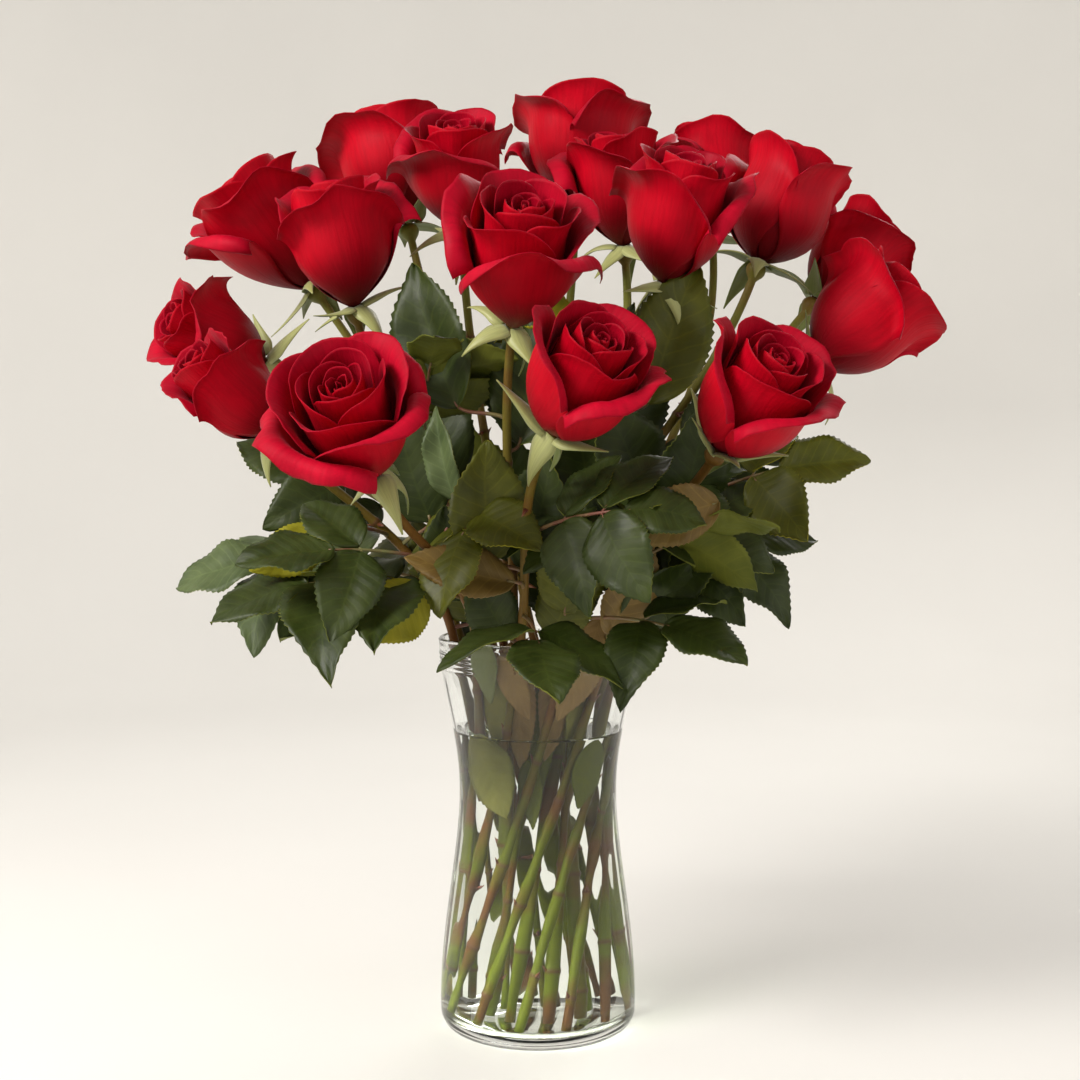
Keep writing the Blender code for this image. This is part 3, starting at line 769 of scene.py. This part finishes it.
def sepal_finish(name, foot, tip):
    material, tree, shader = finish_of(name, Roughness=0.5, Sheen_Weight=0.2)
    sheet = put(tree, "UVMap", uv_map="sheet").outputs["UV"]
    along = put(tree, "SeparateXYZ", {"Vector": sheet}).outputs["Y"]
    lengthwise = put(tree, "Mapping", {"Vector": sheet, "Scale": (14, 1.5, 1)}).outputs["Vector"]
    veins = soft_noise(tree, lengthwise, 1.0, 2.0)
    body = ramp(tree, along, (0.0, foot), (1.0, tip))
    veined = mixed(tree, 0.5, body, ramp(tree, veins, (0.35, 0.6), (0.6, 1.0)), "MULTIPLY")
    tree.links.new(veined, shader.inputs["Base Color"])
    bumped(tree, shader, veins, 0.3, 0.2 * MM)
    return material


sepal_face = sepal_finish("sepal_face", (0.4, 0.42, 0.16), (0.26, 0.27, 0.07))
sepal_back = sepal_finish("sepal_back", (0.17, 0.22, 0.05), (0.15, 0.18, 0.03))


def thicken(piece, thickness):
    """Gives a piece's sheets their thickness; their backs and edges take the next material."""
    sheet = piece.modifiers.new("sheet", "SOLIDIFY")
    sheet.thickness = thickness
    sheet.offset = 0
    sheet.material_offset = 1
    sheet.material_offset_rim = 1


for number, rose in enumerate(ROSES):
    bloom = add_piece(
        rose.name + "_petals",
        make_bloom(rose, 31 + number),
        [petal_face, petal_back, sepal_face, sepal_back],
    )
    thicken(bloom, PETAL_THICKNESS)
    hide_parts(rose.name + "_bloom")

# ---------------------------------------------------------------------------------------------
# The leaves: three or five toothed leaflets on a thin reddish stalk, dark and waxy above, paler
# below, each folded a little along its midrib and drooping to a drawn-out point.
# ---------------------------------------------------------------------------------------------
# pairs are the places along the stalk where two leaflets face each other, leaflet_from is where
# the end leaflet starts, and arch is how far round the whole leaf bends.
LeafKind = namedtuple("LeafKind", "pairs leaflet_from arch")
KINDS = {
    "three": LeafKind(pairs=(0.42,), leaflet_from=0.56, arch=math.radians(35)),
    "five": LeafKind(pairs=(0.28, 0.52), leaflet_from=0.64, arch=math.radians(50)),
}
LEAFLET_SPLAY = math.radians(62)
SIDE_LEAFLET = 0.49  # a side leaflet's length beside the whole leaf
TIP_LEAFLET = 1.16  # the end leaflet's length beside what is left of the stalk
LEAFLET_BREADTH = 0.72
LEAF_SHEET = 0.45 * MM
STALK_RADIUS, STALK_SIDES, STALK_STEPS = 0.95 * MM, 7, 12
STALK_DROP = 0.4 * MM  # how far the stalk's middle lies under the leaflets' sheet
SHORTEST_LEAF, LONGEST_LEAF = 100 * MM, 136 * MM
LEAFLET_TEETH = 19
LEAFLET_COLUMNS = 8
TOOTH_DEPTH, TOOTH_LEAN = 0.055, 0.45  # beside the leaflet's half-width, and beside a tooth's length
SIDE_VEINS, VEIN_SLANT = 8.5, 3.4  # how many side veins there are, and how far they sweep forward
# height is where the stalk leaves its stem, and x, y and z are what the tip reaches for, in
# millimetres.  slide moves the stalk along its stem, and turn and lift, in degrees, swing it clear.
Leaf = namedtuple("Leaf", "stem kind height x y z roll shade slide turn lift", defaults=(0, 0, 0))
LEAVES = (
    Leaf("rose_08", "five", 256, -192, -48, 250, -28, "grey"),
    Leaf("rose_09", "five", 242, -152, -92, 226, -14, "dark", slide=8, lift=4),
    Leaf("rose_07", "three", 286, -170, 0, 322, -50, "dark"),
    Leaf("rose_09", "three", 272, -112, -112, 262, -45, "dark", lift=4),
    Leaf("rose_10", "three", 240, 4, -124, 220, -8, "dark"),
    Leaf("rose_17", "three", 298, -62, -76, 240, 10, "olive", slide=16, turn=12),
    Leaf("rose_18", "five", 290, 20, -96, 238, 0, "dark", slide=8, turn=12, lift=12),
    Leaf("rose_11", "three", 262, 104, -78, 300, -40, "dark", lift=-12),
    Leaf("rose_01", "five", 254, 150, -42, 268, 50, "dark"),
    Leaf("rose_01", "three", 298, 163, -38, 312, 50, "olive", turn=-12),
    Leaf("rose_11", "three", 238, 76, -108, 226, 30, "dark"),
    Leaf("rose_18", "five", 330, 98, -22, 398, 55, "olive", lift=24),
    Leaf("rose_16", "five", 322, -66, -62, 384, 20, "dark"),
    Leaf("rose_13", "three", 326, 56, -74, 282, 25, "dark", turn=12),
    Leaf("rose_12", "five", 288, 106, -66, 262, 50, "dark", slide=8, turn=-12, lift=-12),
    Leaf("rose_10", "five", 268, 78, -112, 262, 60, "dark", slide=16, turn=-24),
    Leaf("rose_04", "five", 246, -14, 150, 246, 0, "dark"),
    Leaf("rose_05", "five", 258, -104, 122, 256, 0, "olive"),
    Leaf("rose_03", "five", 258, 88, 128, 262, 0, "dark"),
    Leaf("rose_02", "three", 286, 160, 34, 330, 40, "dark"),
    Leaf("rose_06", "three", 280, -152, 62, 296, -35, "dark"),
    Leaf("rose_14", "three", 318, -30, 112, 348, 0, "olive", slide=16, lift=12),
)


def where_on_stem(rose, height):
    """The stem's middle and its direction at a height in millimetres."""
    cut, rim, hip_foot, _, pulls = stem_anchors(rose)
    line = [cut] + [cut.lerp(rim, share) for share in STRAIGHT_SHARES]
    line += [on_bend(rim, pulls, hip_foot, share) for share in levels(0, 1, BEND_STEPS)]
    for low, high in zip(line, line[1:]):
        if low.z <= height * MM <= high.z:
            share = (height * MM - low.z) / (high.z - low.z)
            return low.lerp(high, share), (high - low).normalized()
    raise ValueError("the stem doesn't reach that height")


def leaf_place(leaf):
    """The leaf's length, and its place as a matrix: X along it, Z out of its upper face."""
    rose = next(rose for rose in ROSES if rose.name == leaf.stem)
    start, _ = where_on_stem(rose, leaf.height)
    chord = Vector((leaf.x, leaf.y, leaf.z)) * MM - start
    half_arch = KINDS[leaf.kind].arch / 2
    heading = math.degrees(math.atan2(chord.y, chord.x)) + leaf.turn
    rise = math.degrees(math.asin(chord.normalized().z) + half_arch) + leaf.lift
    length = chord.length * half_arch / math.sin(half_arch)
    middle, upward = where_on_stem(rose, leaf.height + leaf.slide)
    forward = direction(heading, 90 - rise)
    sideways = Vector((0, 0, 1)).cross(forward).normalized()
    sideways.rotate(Matrix.Rotation(math.radians(leaf.roll), 3, forward))
    facing = forward.cross(sideways)
    outward = (forward - upward * forward.dot(upward)).normalized()
    rotation = Matrix((forward, sideways, facing)).transposed()
    matrix = Matrix.Translation(middle + outward * STEM_RADIUS * 0.8) @ rotation.to_4x4()
    return min(max(length, SHORTEST_LEAF), LONGEST_LEAF), matrix


def arched(place, length, arch):
    """Bends the leaf, which lies along X, down along a circular arc."""
    radius = length / arch
    turn = place.x / radius
    reach = radius + place.z - place.y * place.y / (1.6 * length)
    return Vector((reach * math.sin(turn), place.y, reach * math.cos(turn) - radius))


def leaflet_half_width(share):
    """Half a leaflet's width beside its length: round at the foot, drawn out at the tip."""
    body = math.sin(math.pi * min(share, 1) ** 0.86) ** 0.72 * (1 - 0.25 * share**5)
    return LEAFLET_BREADTH / 2 * max(body, 0.0) + 0.004 * (1 - share)


def make_leaflet(bm, layer, foot, reach, splay, side, dice):
    """One toothed leaflet, folded along its midrib, its teeth leaning towards the tip."""
    rows = LEAFLET_TEETH * 2
    grid = marked_sheet(bm, layer, rows, LEAFLET_COLUMNS)
    forward = Vector((math.cos(splay), side * math.sin(splay), 0))
    sideways = Vector((-forward.y, forward.x, 0))
    fold = math.radians(dice.uniform(8, 20))
    droop, phase = dice.uniform(-0.02, 0.16), dice.uniform(0, math.tau)
    tip_curl = dice.uniform(-0.16, 0.16)
    tilt = math.radians(dice.uniform(-16, 16))
    for vert in grid:
        share, across = (vert.co.x + 1) / 2, vert.co.y
        row = round(share * rows)
        half = max(leaflet_half_width(share) * reach, 0.15 * MM)
        along = share * reach
        edge = abs(across) ** 6
        if row % 2 and 0.08 < share < 0.97:
            half *= 1 - TOOTH_DEPTH * edge
            along -= TOOTH_LEAN * reach / rows * edge
        out = across * half
        height = abs(out) * math.tan(fold) - 0.25 * fold * out * out / (reach * 0.35)
        height -= droop * reach * share**2.2
        height += 0.022 * reach * math.sin(share * 15 + phase + 1.5 * across) * across**2
        height += 0.03 * reach * noise.noise((share * 3, across * 1.5, phase * 7))
        bent = tip_curl * reach * share**3
        out, height = out * math.cos(tilt) - height * math.sin(tilt), out * math.sin(tilt) + height
        vert.co = foot + forward * along + sideways * (out + bent) + Vector((0, 0, height))


def make_blades(leaf, dice):
    kind = KINDS[leaf.kind]
    length, matrix = leaf_place(leaf)
    bm = bmesh.new()
    layer = bm.loops.layers.uv.new("sheet")
    for pair in kind.pairs:
        for side in (1, -1):
            foot = Vector((pair * length, side * 2 * MM, 0))
            reach = SIDE_LEAFLET * length * dice.uniform(0.92, 1.06)
            make_leaflet(bm, layer, foot, reach, LEAFLET_SPLAY, side, dice)
    foot = Vector((kind.leaflet_from * length, 0, 0))
    make_leaflet(bm, layer, foot, (1 - kind.leaflet_from) * length * TIP_LEAFLET, 0, 1, dice)
    for vert in bm.verts:
        vert.co = matrix @ arched(vert.co, length, kind.arch)
    return bm


def make_stalk(leaf):
    """The stalk from the stem to the end leaflet, with a short foot out to each side leaflet."""
    kind = KINDS[leaf.kind]
    length, matrix = leaf_place(leaf)
    bm = bmesh.new()

    def run(start, end, thick, thin):
        spots = []
        for share in levels(0, 1, STALK_STEPS):
            place = start.lerp(end, share)
            place.z -= STALK_DROP
            radius = STALK_RADIUS * (thick + (thin - thick) * share)
            spots.append((matrix @ arched(place, length, kind.arch), radius))
        sweep(bm, spots, STALK_SIDES)

    tip = kind.leaflet_from * length + 3 * MM
    run(Vector((-1.5 * MM, 0, 0)), Vector((tip, 0, 0)), 1.25, 0.7)
    for pair in kind.pairs:
        for side in (1, -1):
            foot = Vector((pair * length - 1.2 * MM, 0, 0))
            run(foot, foot + Vector((2.4 * MM, side * 4.2 * MM, 0)), 0.7, 0.5)
    bmesh.ops.recalc_face_normals(bm, faces=bm.faces)
    return bm


def worked_out(tree, operation, *values):
    return put(tree, "Math", dict(enumerate(values)), operation=operation).outputs[0]


def leaf_finish(name, deep, light, paler, roughness, coat, puckering):
    """Leaf skin: mottled green with paler midrib and side veins, quilted between them."""
    vein = [min(1, channel * paler) for channel in light]
    material, tree, shader = finish_of(name, Coat_Weight=coat, Coat_Roughness=0.3, Specular_IOR_Level=0.25)
    sheet = put(tree, "UVMap", uv_map="sheet").outputs["UV"]
    place = object_place(tree)
    parts = put(tree, "SeparateXYZ", {"Vector": sheet})
    off_middle = worked_out(tree, "ABSOLUTE", worked_out(tree, "SUBTRACT", parts.outputs["X"], 0.5))
    slant = worked_out(tree, "MULTIPLY", off_middle, VEIN_SLANT)
    climbing = worked_out(tree, "MULTIPLY", parts.outputs["Y"], SIDE_VEINS)
    wobble = soft_noise(tree, place, 120.0, 1.0)
    order = worked_out(tree, "SUBTRACT", climbing, slant)
    order = worked_out(tree, "MULTIPLY_ADD", wobble, 0.35, order)
    saw = worked_out(tree, "FRACT", order)
    side_veins = ramp(tree, saw, (0.0, 1.0), (0.1, 0.0), (0.9, 0.0), (1.0, 1.0))
    midrib = ramp(tree, off_middle, (0.0, 1.0), (0.028, 0.0))
    veins = mixed(tree, 1.0, side_veins, midrib, "LIGHTEN")
    fine = put(tree, "TexVoronoi", {"Vector": place, "Scale": 520.0}).outputs["Distance"]
    mottle = soft_noise(tree, place, 55.0, 4.0)
    body = ramp(tree, mottle, (0.3, deep), (0.72, light))
    faint = mixed(tree, 0.22, (0, 0, 0, 1), veins)
    tree.links.new(mixed(tree, faint, body, (*vein, 1)), shader.inputs["Base Color"])
    low, high = roughness
    tree.links.new(ramp(tree, mottle, (0.3, low), (0.7, high)), shader.inputs["Roughness"])
    pillows = ramp(tree, saw, (0.0, 0.0), (0.5, 1.0), (1.0, 0.0))
    bumped(tree, shader, mixed(tree, 0.25, pillows, fine), puckering, 0.5 * MM)
    return material


SKINS = {}
for shade, face, under in (
    ("dark", ((0.012, 0.021, 0.001), (0.032, 0.046, 0.005)), ((0.07, 0.085, 0.006), (0.12, 0.13, 0.012))),
    ("grey", ((0.04, 0.06, 0.018), (0.085, 0.115, 0.04)), ((0.13, 0.16, 0.05), (0.18, 0.2, 0.07))),
    ("olive", ((0.04, 0.046, 0.001), (0.08, 0.085, 0.003)), ((0.16, 0.15, 0.004), (0.24, 0.22, 0.006))),
    ("wet", ((0.05, 0.06, 0.004), (0.09, 0.1, 0.01)), ((0.08, 0.08, 0.006), (0.17, 0.16, 0.03))),
    ("bronze", ((0.1, 0.06, 0.012), (0.17, 0.11, 0.025)), ((0.2, 0.12, 0.04), (0.28, 0.18, 0.06))),
):
    SKINS[shade] = [
        leaf_finish(f"leaf_{shade}_face", *face, 1.9, (0.46, 0.6), 0.06, 0.4),
        leaf_finish(f"leaf_{shade}_under", *under, 1.35, (0.58, 0.72), 0.0, 0.3),
    ]
REDDISH, GREENISH = (0.35, (0.16, 0.05, 0.03)), (0.7, (0.16, 0.17, 0.05))
stalk_finish = mottled_finish("leaf_stalk_skin", 60.0, 3.0, REDDISH, GREENISH, bump=0.2, Roughness=0.45)

for number, leaf in enumerate(LEAVES, start=1):
    node = f"leaf_{number:02}_{leaf.kind}"
    dice = random.Random(700 + number)
    made = make_blades(leaf, dice)
    blades = add_piece(f"leaf_{number:02}_blades", made, SKINS[leaf.shade])
    thicken(blades, LEAF_SHEET)
    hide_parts(node)
    stalk = add_piece(f"leaf_{number:02}_stalk", make_stalk(leaf), [stalk_finish])
    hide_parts(node)

# ---------------------------------------------------------------------------------------------
# The inner leaves: single leaflets between the stems in the middle of the bunch, each on a thin
# stalk from the stem that passes nearest.  They close most of the gaps under the blooms.
# ---------------------------------------------------------------------------------------------
# foot, tip and breadth in millimetres; turn, in degrees, swings its face away from the front
InnerLeaf = namedtuple("InnerLeaf", "foot tip breadth turn shade")
INNER_LEAVES = (
    InnerLeaf((-44, -28, 350), (-76, -26, 428), 48, -20, "dark"),
    InnerLeaf((-44, -50, 300), (-60, -56, 348), 21, -30, "grey"),
    InnerLeaf((-24, -58, 268), (-32, -70, 330), 44, 5, "olive"),
    InnerLeaf((60, -34, 352), (84, -36, 430), 46, 15, "olive"),
    InnerLeaf((30, -40, 350), (52, -38, 408), 30, -15, "dark"),
    InnerLeaf((-10, -24, 330), (2, -20, 404), 44, 10, "dark"),
    InnerLeaf((30, -30, 290), (20, -44, 356), 50, 0, "dark"),
    InnerLeaf((58, -34, 300), (42, -52, 358), 46, 20, "dark"),
    InnerLeaf((-8, -40, 262), (12, -58, 322), 46, -10, "dark"),
    InnerLeaf((74, -30, 290), (96, -56, 346), 44, 30, "dark"),
    InnerLeaf((-58, -30, 288), (-84, -40, 346), 46, -35, "dark"),
    InnerLeaf((44, -44, 250), (36, -62, 306), 40, 10, "dark"),
    InnerLeaf((-40, -46, 246), (-56, -60, 296), 38, -20, "dark"),
    InnerLeaf((14, -52, 240), (24, -72, 288), 38, 0, "olive"),
    InnerLeaf((8, 10, 330), (-24, 16, 400), 52, -10, "dark"),
    InnerLeaf((40, 14, 320), (66, 20, 390), 52, 15, "dark"),
    InnerLeaf((-46, 12, 310), (-84, 22, 378), 52, -20, "dark"),
    InnerLeaf((84, 10, 318), (122, 16, 372), 48, 25, "dark"),
    InnerLeaf((-6, 4, 262), (-20, -2, 332), 52, 0, "dark"),
    InnerLeaf((28, 2, 256), (48, 0, 324), 52, 5, "olive"),
    InnerLeaf((-12, -70, 258), (-68, -84, 270), 30, -12, "bronze"),
    InnerLeaf((38, -48, 228), (60, -64, 276), 32, 20, "bronze"),
    InnerLeaf((48, -42, 232), (84, -60, 264), 38, 30, "dark"),
    InnerLeaf((-16, -44, 226), (-38, -56, 262), 30, -12, "dark"),
    InnerLeaf((8, -48, 226), (22, -58, 268), 32, 5, "olive"),
    InnerLeaf((-36, -14, 232), (-64, -24, 290), 42, -30, "olive"),
    InnerLeaf((20, -8, 228), (4, -18, 290), 46, 0, "dark"),
    InnerLeaf((92, -98, 301), (42, -110, 287), 30, 5, "bronze"),
    InnerLeaf((-112, -64, 286), (-146, -80, 260), 28, 175, "olive"),
    InnerLeaf((-60, -68, 256), (-84, -84, 228), 36, 185, "olive"),
    InnerLeaf((-20, 44, 276), (-52, 78, 344), 50, 180, "dark"),
    InnerLeaf((26, 46, 276), (50, 82, 346), 50, 180, "dark"),
    InnerLeaf((0, 56, 330), (6, 96, 398), 50, 180, "olive"),
)


LEAST_CLIMB = 6 * MM  # of a stalk, from its stem to the leaflet's foot
SEARCH_STEP, SEARCH_FLOOR = 8, 190  # heights in millimetres


def nearest_on_stems(spot, lower):
    """The nearest point on any stem that is at least so far below the spot."""
    best = None
    for rose in ROSES:
        height = (spot.z - lower) / MM
        while height > SEARCH_FLOOR:
            try:
                point, _ = where_on_stem(rose, height)
            except ValueError:
                break
            if best is None or (point - spot).length < (best - spot).length:
                best = point
            height -= SEARCH_STEP
    return best


def make_inner_leaf(inner, dice):
    """A leaflet lifted into place, with a bent stalk running to it."""
    bm = bmesh.new()
    layer = bm.loops.layers.uv.new("sheet")
    foot, tip = Vector(inner.foot) * MM, Vector(inner.tip) * MM
    run = tip - foot
    make_leaflet(bm, layer, Vector(), run.length, 0, 1, dice)
    widen = inner.breadth * MM / (LEAFLET_BREADTH * run.length)
    forward = run.normalized()
    front = direction(inner.turn - 90, 75)
    facing = (front - forward * front.dot(forward)).normalized()
    sideways = facing.cross(forward)
    rotation = Matrix((forward, sideways, facing)).transposed()
    for vert in bm.verts:
        vert.co.y *= widen
        vert.co = foot + rotation @ vert.co
    start = nearest_on_stems(foot, LEAST_CLIMB)
    pulls = (start + (foot - start) * 0.3 + Vector((0, 0, 4 * MM)), foot - forward * 6 * MM)
    tip_of_stalk = foot + forward * 4 * MM
    spots = [
        (on_bend(start, pulls, tip_of_stalk, share), STALK_RADIUS * (1.1 - 0.4 * share))
        for share in levels(0, 1, STALK_STEPS)
    ]
    before = set(bm.faces)
    sweep(bm, spots, STALK_SIDES)
    for face in set(bm.faces) - before:
        face.material_index = 2
    return bm


for number, inner in enumerate(INNER_LEAVES, start=1):
    finishes = SKINS[inner.shade] + [stalk_finish]
    leaflet = make_inner_leaf(inner, random.Random(820 + number))
    single = add_piece(f"inner_leaf_{number:02}", leaflet, finishes)
    thicken(single, LEAF_SHEET)

# ---------------------------------------------------------------------------------------------
# The low leaves: single leaflets left on the stems below the rim, some against the glass and some
# further in, the lowest under water.  They are thin sheets like the others, curved as the wall is.
# ---------------------------------------------------------------------------------------------
# Angles are in degrees round the vase, and the rest in millimetres; off_wall is how far in from
# the glass the leaflet hangs.
LowLeaf = namedtuple("LowLeaf", "foot_angle foot_height tip_angle tip_height breadth off_wall shade")
LOW_LEAVES = (
    LowLeaf(214, 170, 246, 126, 38, 4.5, "wet"),
    LowLeaf(232, 228, 240, 190, 20, 3.0, "grey"),
    LowLeaf(244, 216, 266, 182, 17, 5.0, "bronze"),
    LowLeaf(313, 236, 284, 180, 28, 3.0, "bronze"),
    LowLeaf(322, 168, 304, 130, 26, 6.0, "dark"),
    LowLeaf(260, 158, 268, 118, 18, 13.0, "dark"),
    LowLeaf(246, 222, 258, 152, 30, 15.0, "bronze"),
    LowLeaf(292, 224, 284, 156, 30, 16.0, "bronze"),
    LowLeaf(270, 196, 276, 132, 24, 21.0, "dark"),
    LowLeaf(228, 212, 232, 152, 24, 13.0, "wet"),
    LowLeaf(306, 214, 310, 150, 24, 12.0, "wet"),
    LowLeaf(150, 232, 120, 178, 26, 3.5, "dark"),
    LowLeaf(60, 226, 86, 180, 24, 3.5, "olive"),
    LowLeaf(20, 168, 48, 124, 24, 5.5, "dark"),
)

PRESSED_FLAT, MOST_PROUD = 0.35, 1.5 * MM  # what the glass leaves of a leaflet's relief


def make_low_leaf(low_leaf, dice):
    """A leaflet laid on the inside of the wall: made flat, then wrapped round and set in."""
    bm = bmesh.new()
    layer = bm.loops.layers.uv.new("sheet")
    turn = math.radians(low_leaf.tip_angle - low_leaf.foot_angle)
    drop = (low_leaf.tip_height - low_leaf.foot_height) * MM
    middle = vase_radius((low_leaf.tip_height + low_leaf.foot_height) * MM / 2) - WALL
    run = Vector((turn * middle, drop, 0))
    make_leaflet(bm, layer, Vector(), run.length, 0, 1, dice)
    widen = low_leaf.breadth * MM / (LEAFLET_BREADTH * run.length)
    aim = run.normalized()
    for vert in bm.verts:
        along, across, proud = vert.co.x, vert.co.y * widen, vert.co.z * PRESSED_FLAT
        flat = aim * along + Vector((-aim.y, aim.x, 0)) * across
        height = low_leaf.foot_height * MM + flat.y
        radius = vase_radius(height) - WALL - low_leaf.off_wall * MM + min(proud, MOST_PROUD)
        vert.co = ring_point(radius, math.radians(low_leaf.foot_angle) + flat.x / middle, height)
    bmesh.ops.recalc_face_normals(bm, faces=bm.faces)
    outward = sum(face.normal.dot(Vector((*face.calc_center_median().xy, 0))) for face in bm.faces)
    if outward < 0:
        bmesh.ops.reverse_faces(bm, faces=bm.faces)
    return bm


for number, low_leaf in enumerate(LOW_LEAVES, start=1):
    leaflet = make_low_leaf(low_leaf, random.Random(900 + number))
    low = add_piece(f"low_leaf_{number:02}", leaflet, SKINS[low_leaf.shade][::-1])
    thicken(low, LEAF_SHEET)

# ---------------------------------------------------------------------------------------------
# The room: a plain pale floor that curves up all round, soft lamps, and the camera.
# ---------------------------------------------------------------------------------------------
FLOOR_RADIUS, COVE_RADIUS, WALL_TOP = 1.9, 0.7, 1.6
CAMERA_PLACE = (0.0012, -0.949, 0.327)
CAMERA_PITCH = math.radians(3.05)
CAMERA_LENS = 56.0


def make_floor():
    flat = [(radius, 0) for radius in levels(0, FLOOR_RADIUS - COVE_RADIUS, 6)]
    cove = [
        (FLOOR_RADIUS - COVE_RADIUS + COVE_RADIUS * math.sin(angle), COVE_RADIUS * (1 - math.cos(angle)))
        for angle in levels(0, math.pi / 2, 12)
    ][1:]
    bm = spun((flat + cove + [(FLOOR_RADIUS, WALL_TOP)])[::-1], 96)
    bmesh.ops.translate(bm, verts=bm.verts, vec=(0, 0, -0.0002))
    mesh = bpy.data.meshes.new("studio_floor")
    bm.to_mesh(mesh)
    bm.free()
    mesh.shade_smooth()
    floor = bpy.data.objects.new("studio_floor", mesh)
    bpy.context.scene.collection.objects.link(floor)
    return floor


PALE, PALER = (0.3, (0.74, 0.725, 0.695)), (0.7, (0.76, 0.745, 0.715))
floor = make_floor()
floor.data.materials.append(
    mottled_finish("studio_pale", 3.0, 2.0, PALE, PALER, Roughness=0.7, Specular_IOR_Level=0.25)
)

world = bpy.data.worlds.new("studio_air")
bpy.context.scene.world = world
world.use_nodes = True
air = world.node_tree.nodes["Background"]
air.inputs["Color"].default_value = (1.0, 0.98, 0.95, 1)
air.inputs["Strength"].default_value = 0.5


def add_lamp(name, place, aim, width, power, colour):
    lamp = bpy.data.lights.new(name, "AREA")
    lamp.shape = "DISK"
    lamp.size = width
    lamp.energy = power
    lamp.color = colour
    made = bpy.data.objects.new(name, lamp)
    made.location = place
    made.rotation_euler = (Vector(aim) - Vector(place)).to_track_quat("-Z", "Y").to_euler()
    made.visible_camera = False
    bpy.context.scene.collection.objects.link(made)


add_lamp("key_softbox", (-1.05, -0.8, 1.15), (0, 0, 0.3), 0.7, 30, (1.0, 0.97, 0.93))
add_lamp("fill_softbox", (1.2, -0.8, 0.7), (0, 0, 0.25), 0.9, 3, (0.97, 0.98, 1.0))
add_lamp("back_softbox", (0.5, 1.2, 1.2), (0, 0, 0.35), 0.7, 9, (1.0, 0.98, 0.95))

lens = bpy.data.cameras.new("camera")
lens.lens = CAMERA_LENS
lens.sensor_width = 36.0
lens.clip_start = 0.02
camera = bpy.data.objects.new("camera", lens)
camera.location = CAMERA_PLACE
camera.rotation_euler = (math.pi / 2 - CAMERA_PITCH, 0, 0)
bpy.context.scene.collection.objects.link(camera)
bpy.context.scene.camera = camera
bpy.context.scene.view_settings.view_transform = "Standard"
bpy.context.scene.cycles.max_bounces = 24
bpy.context.scene.cycles.transmission_bounces = 24
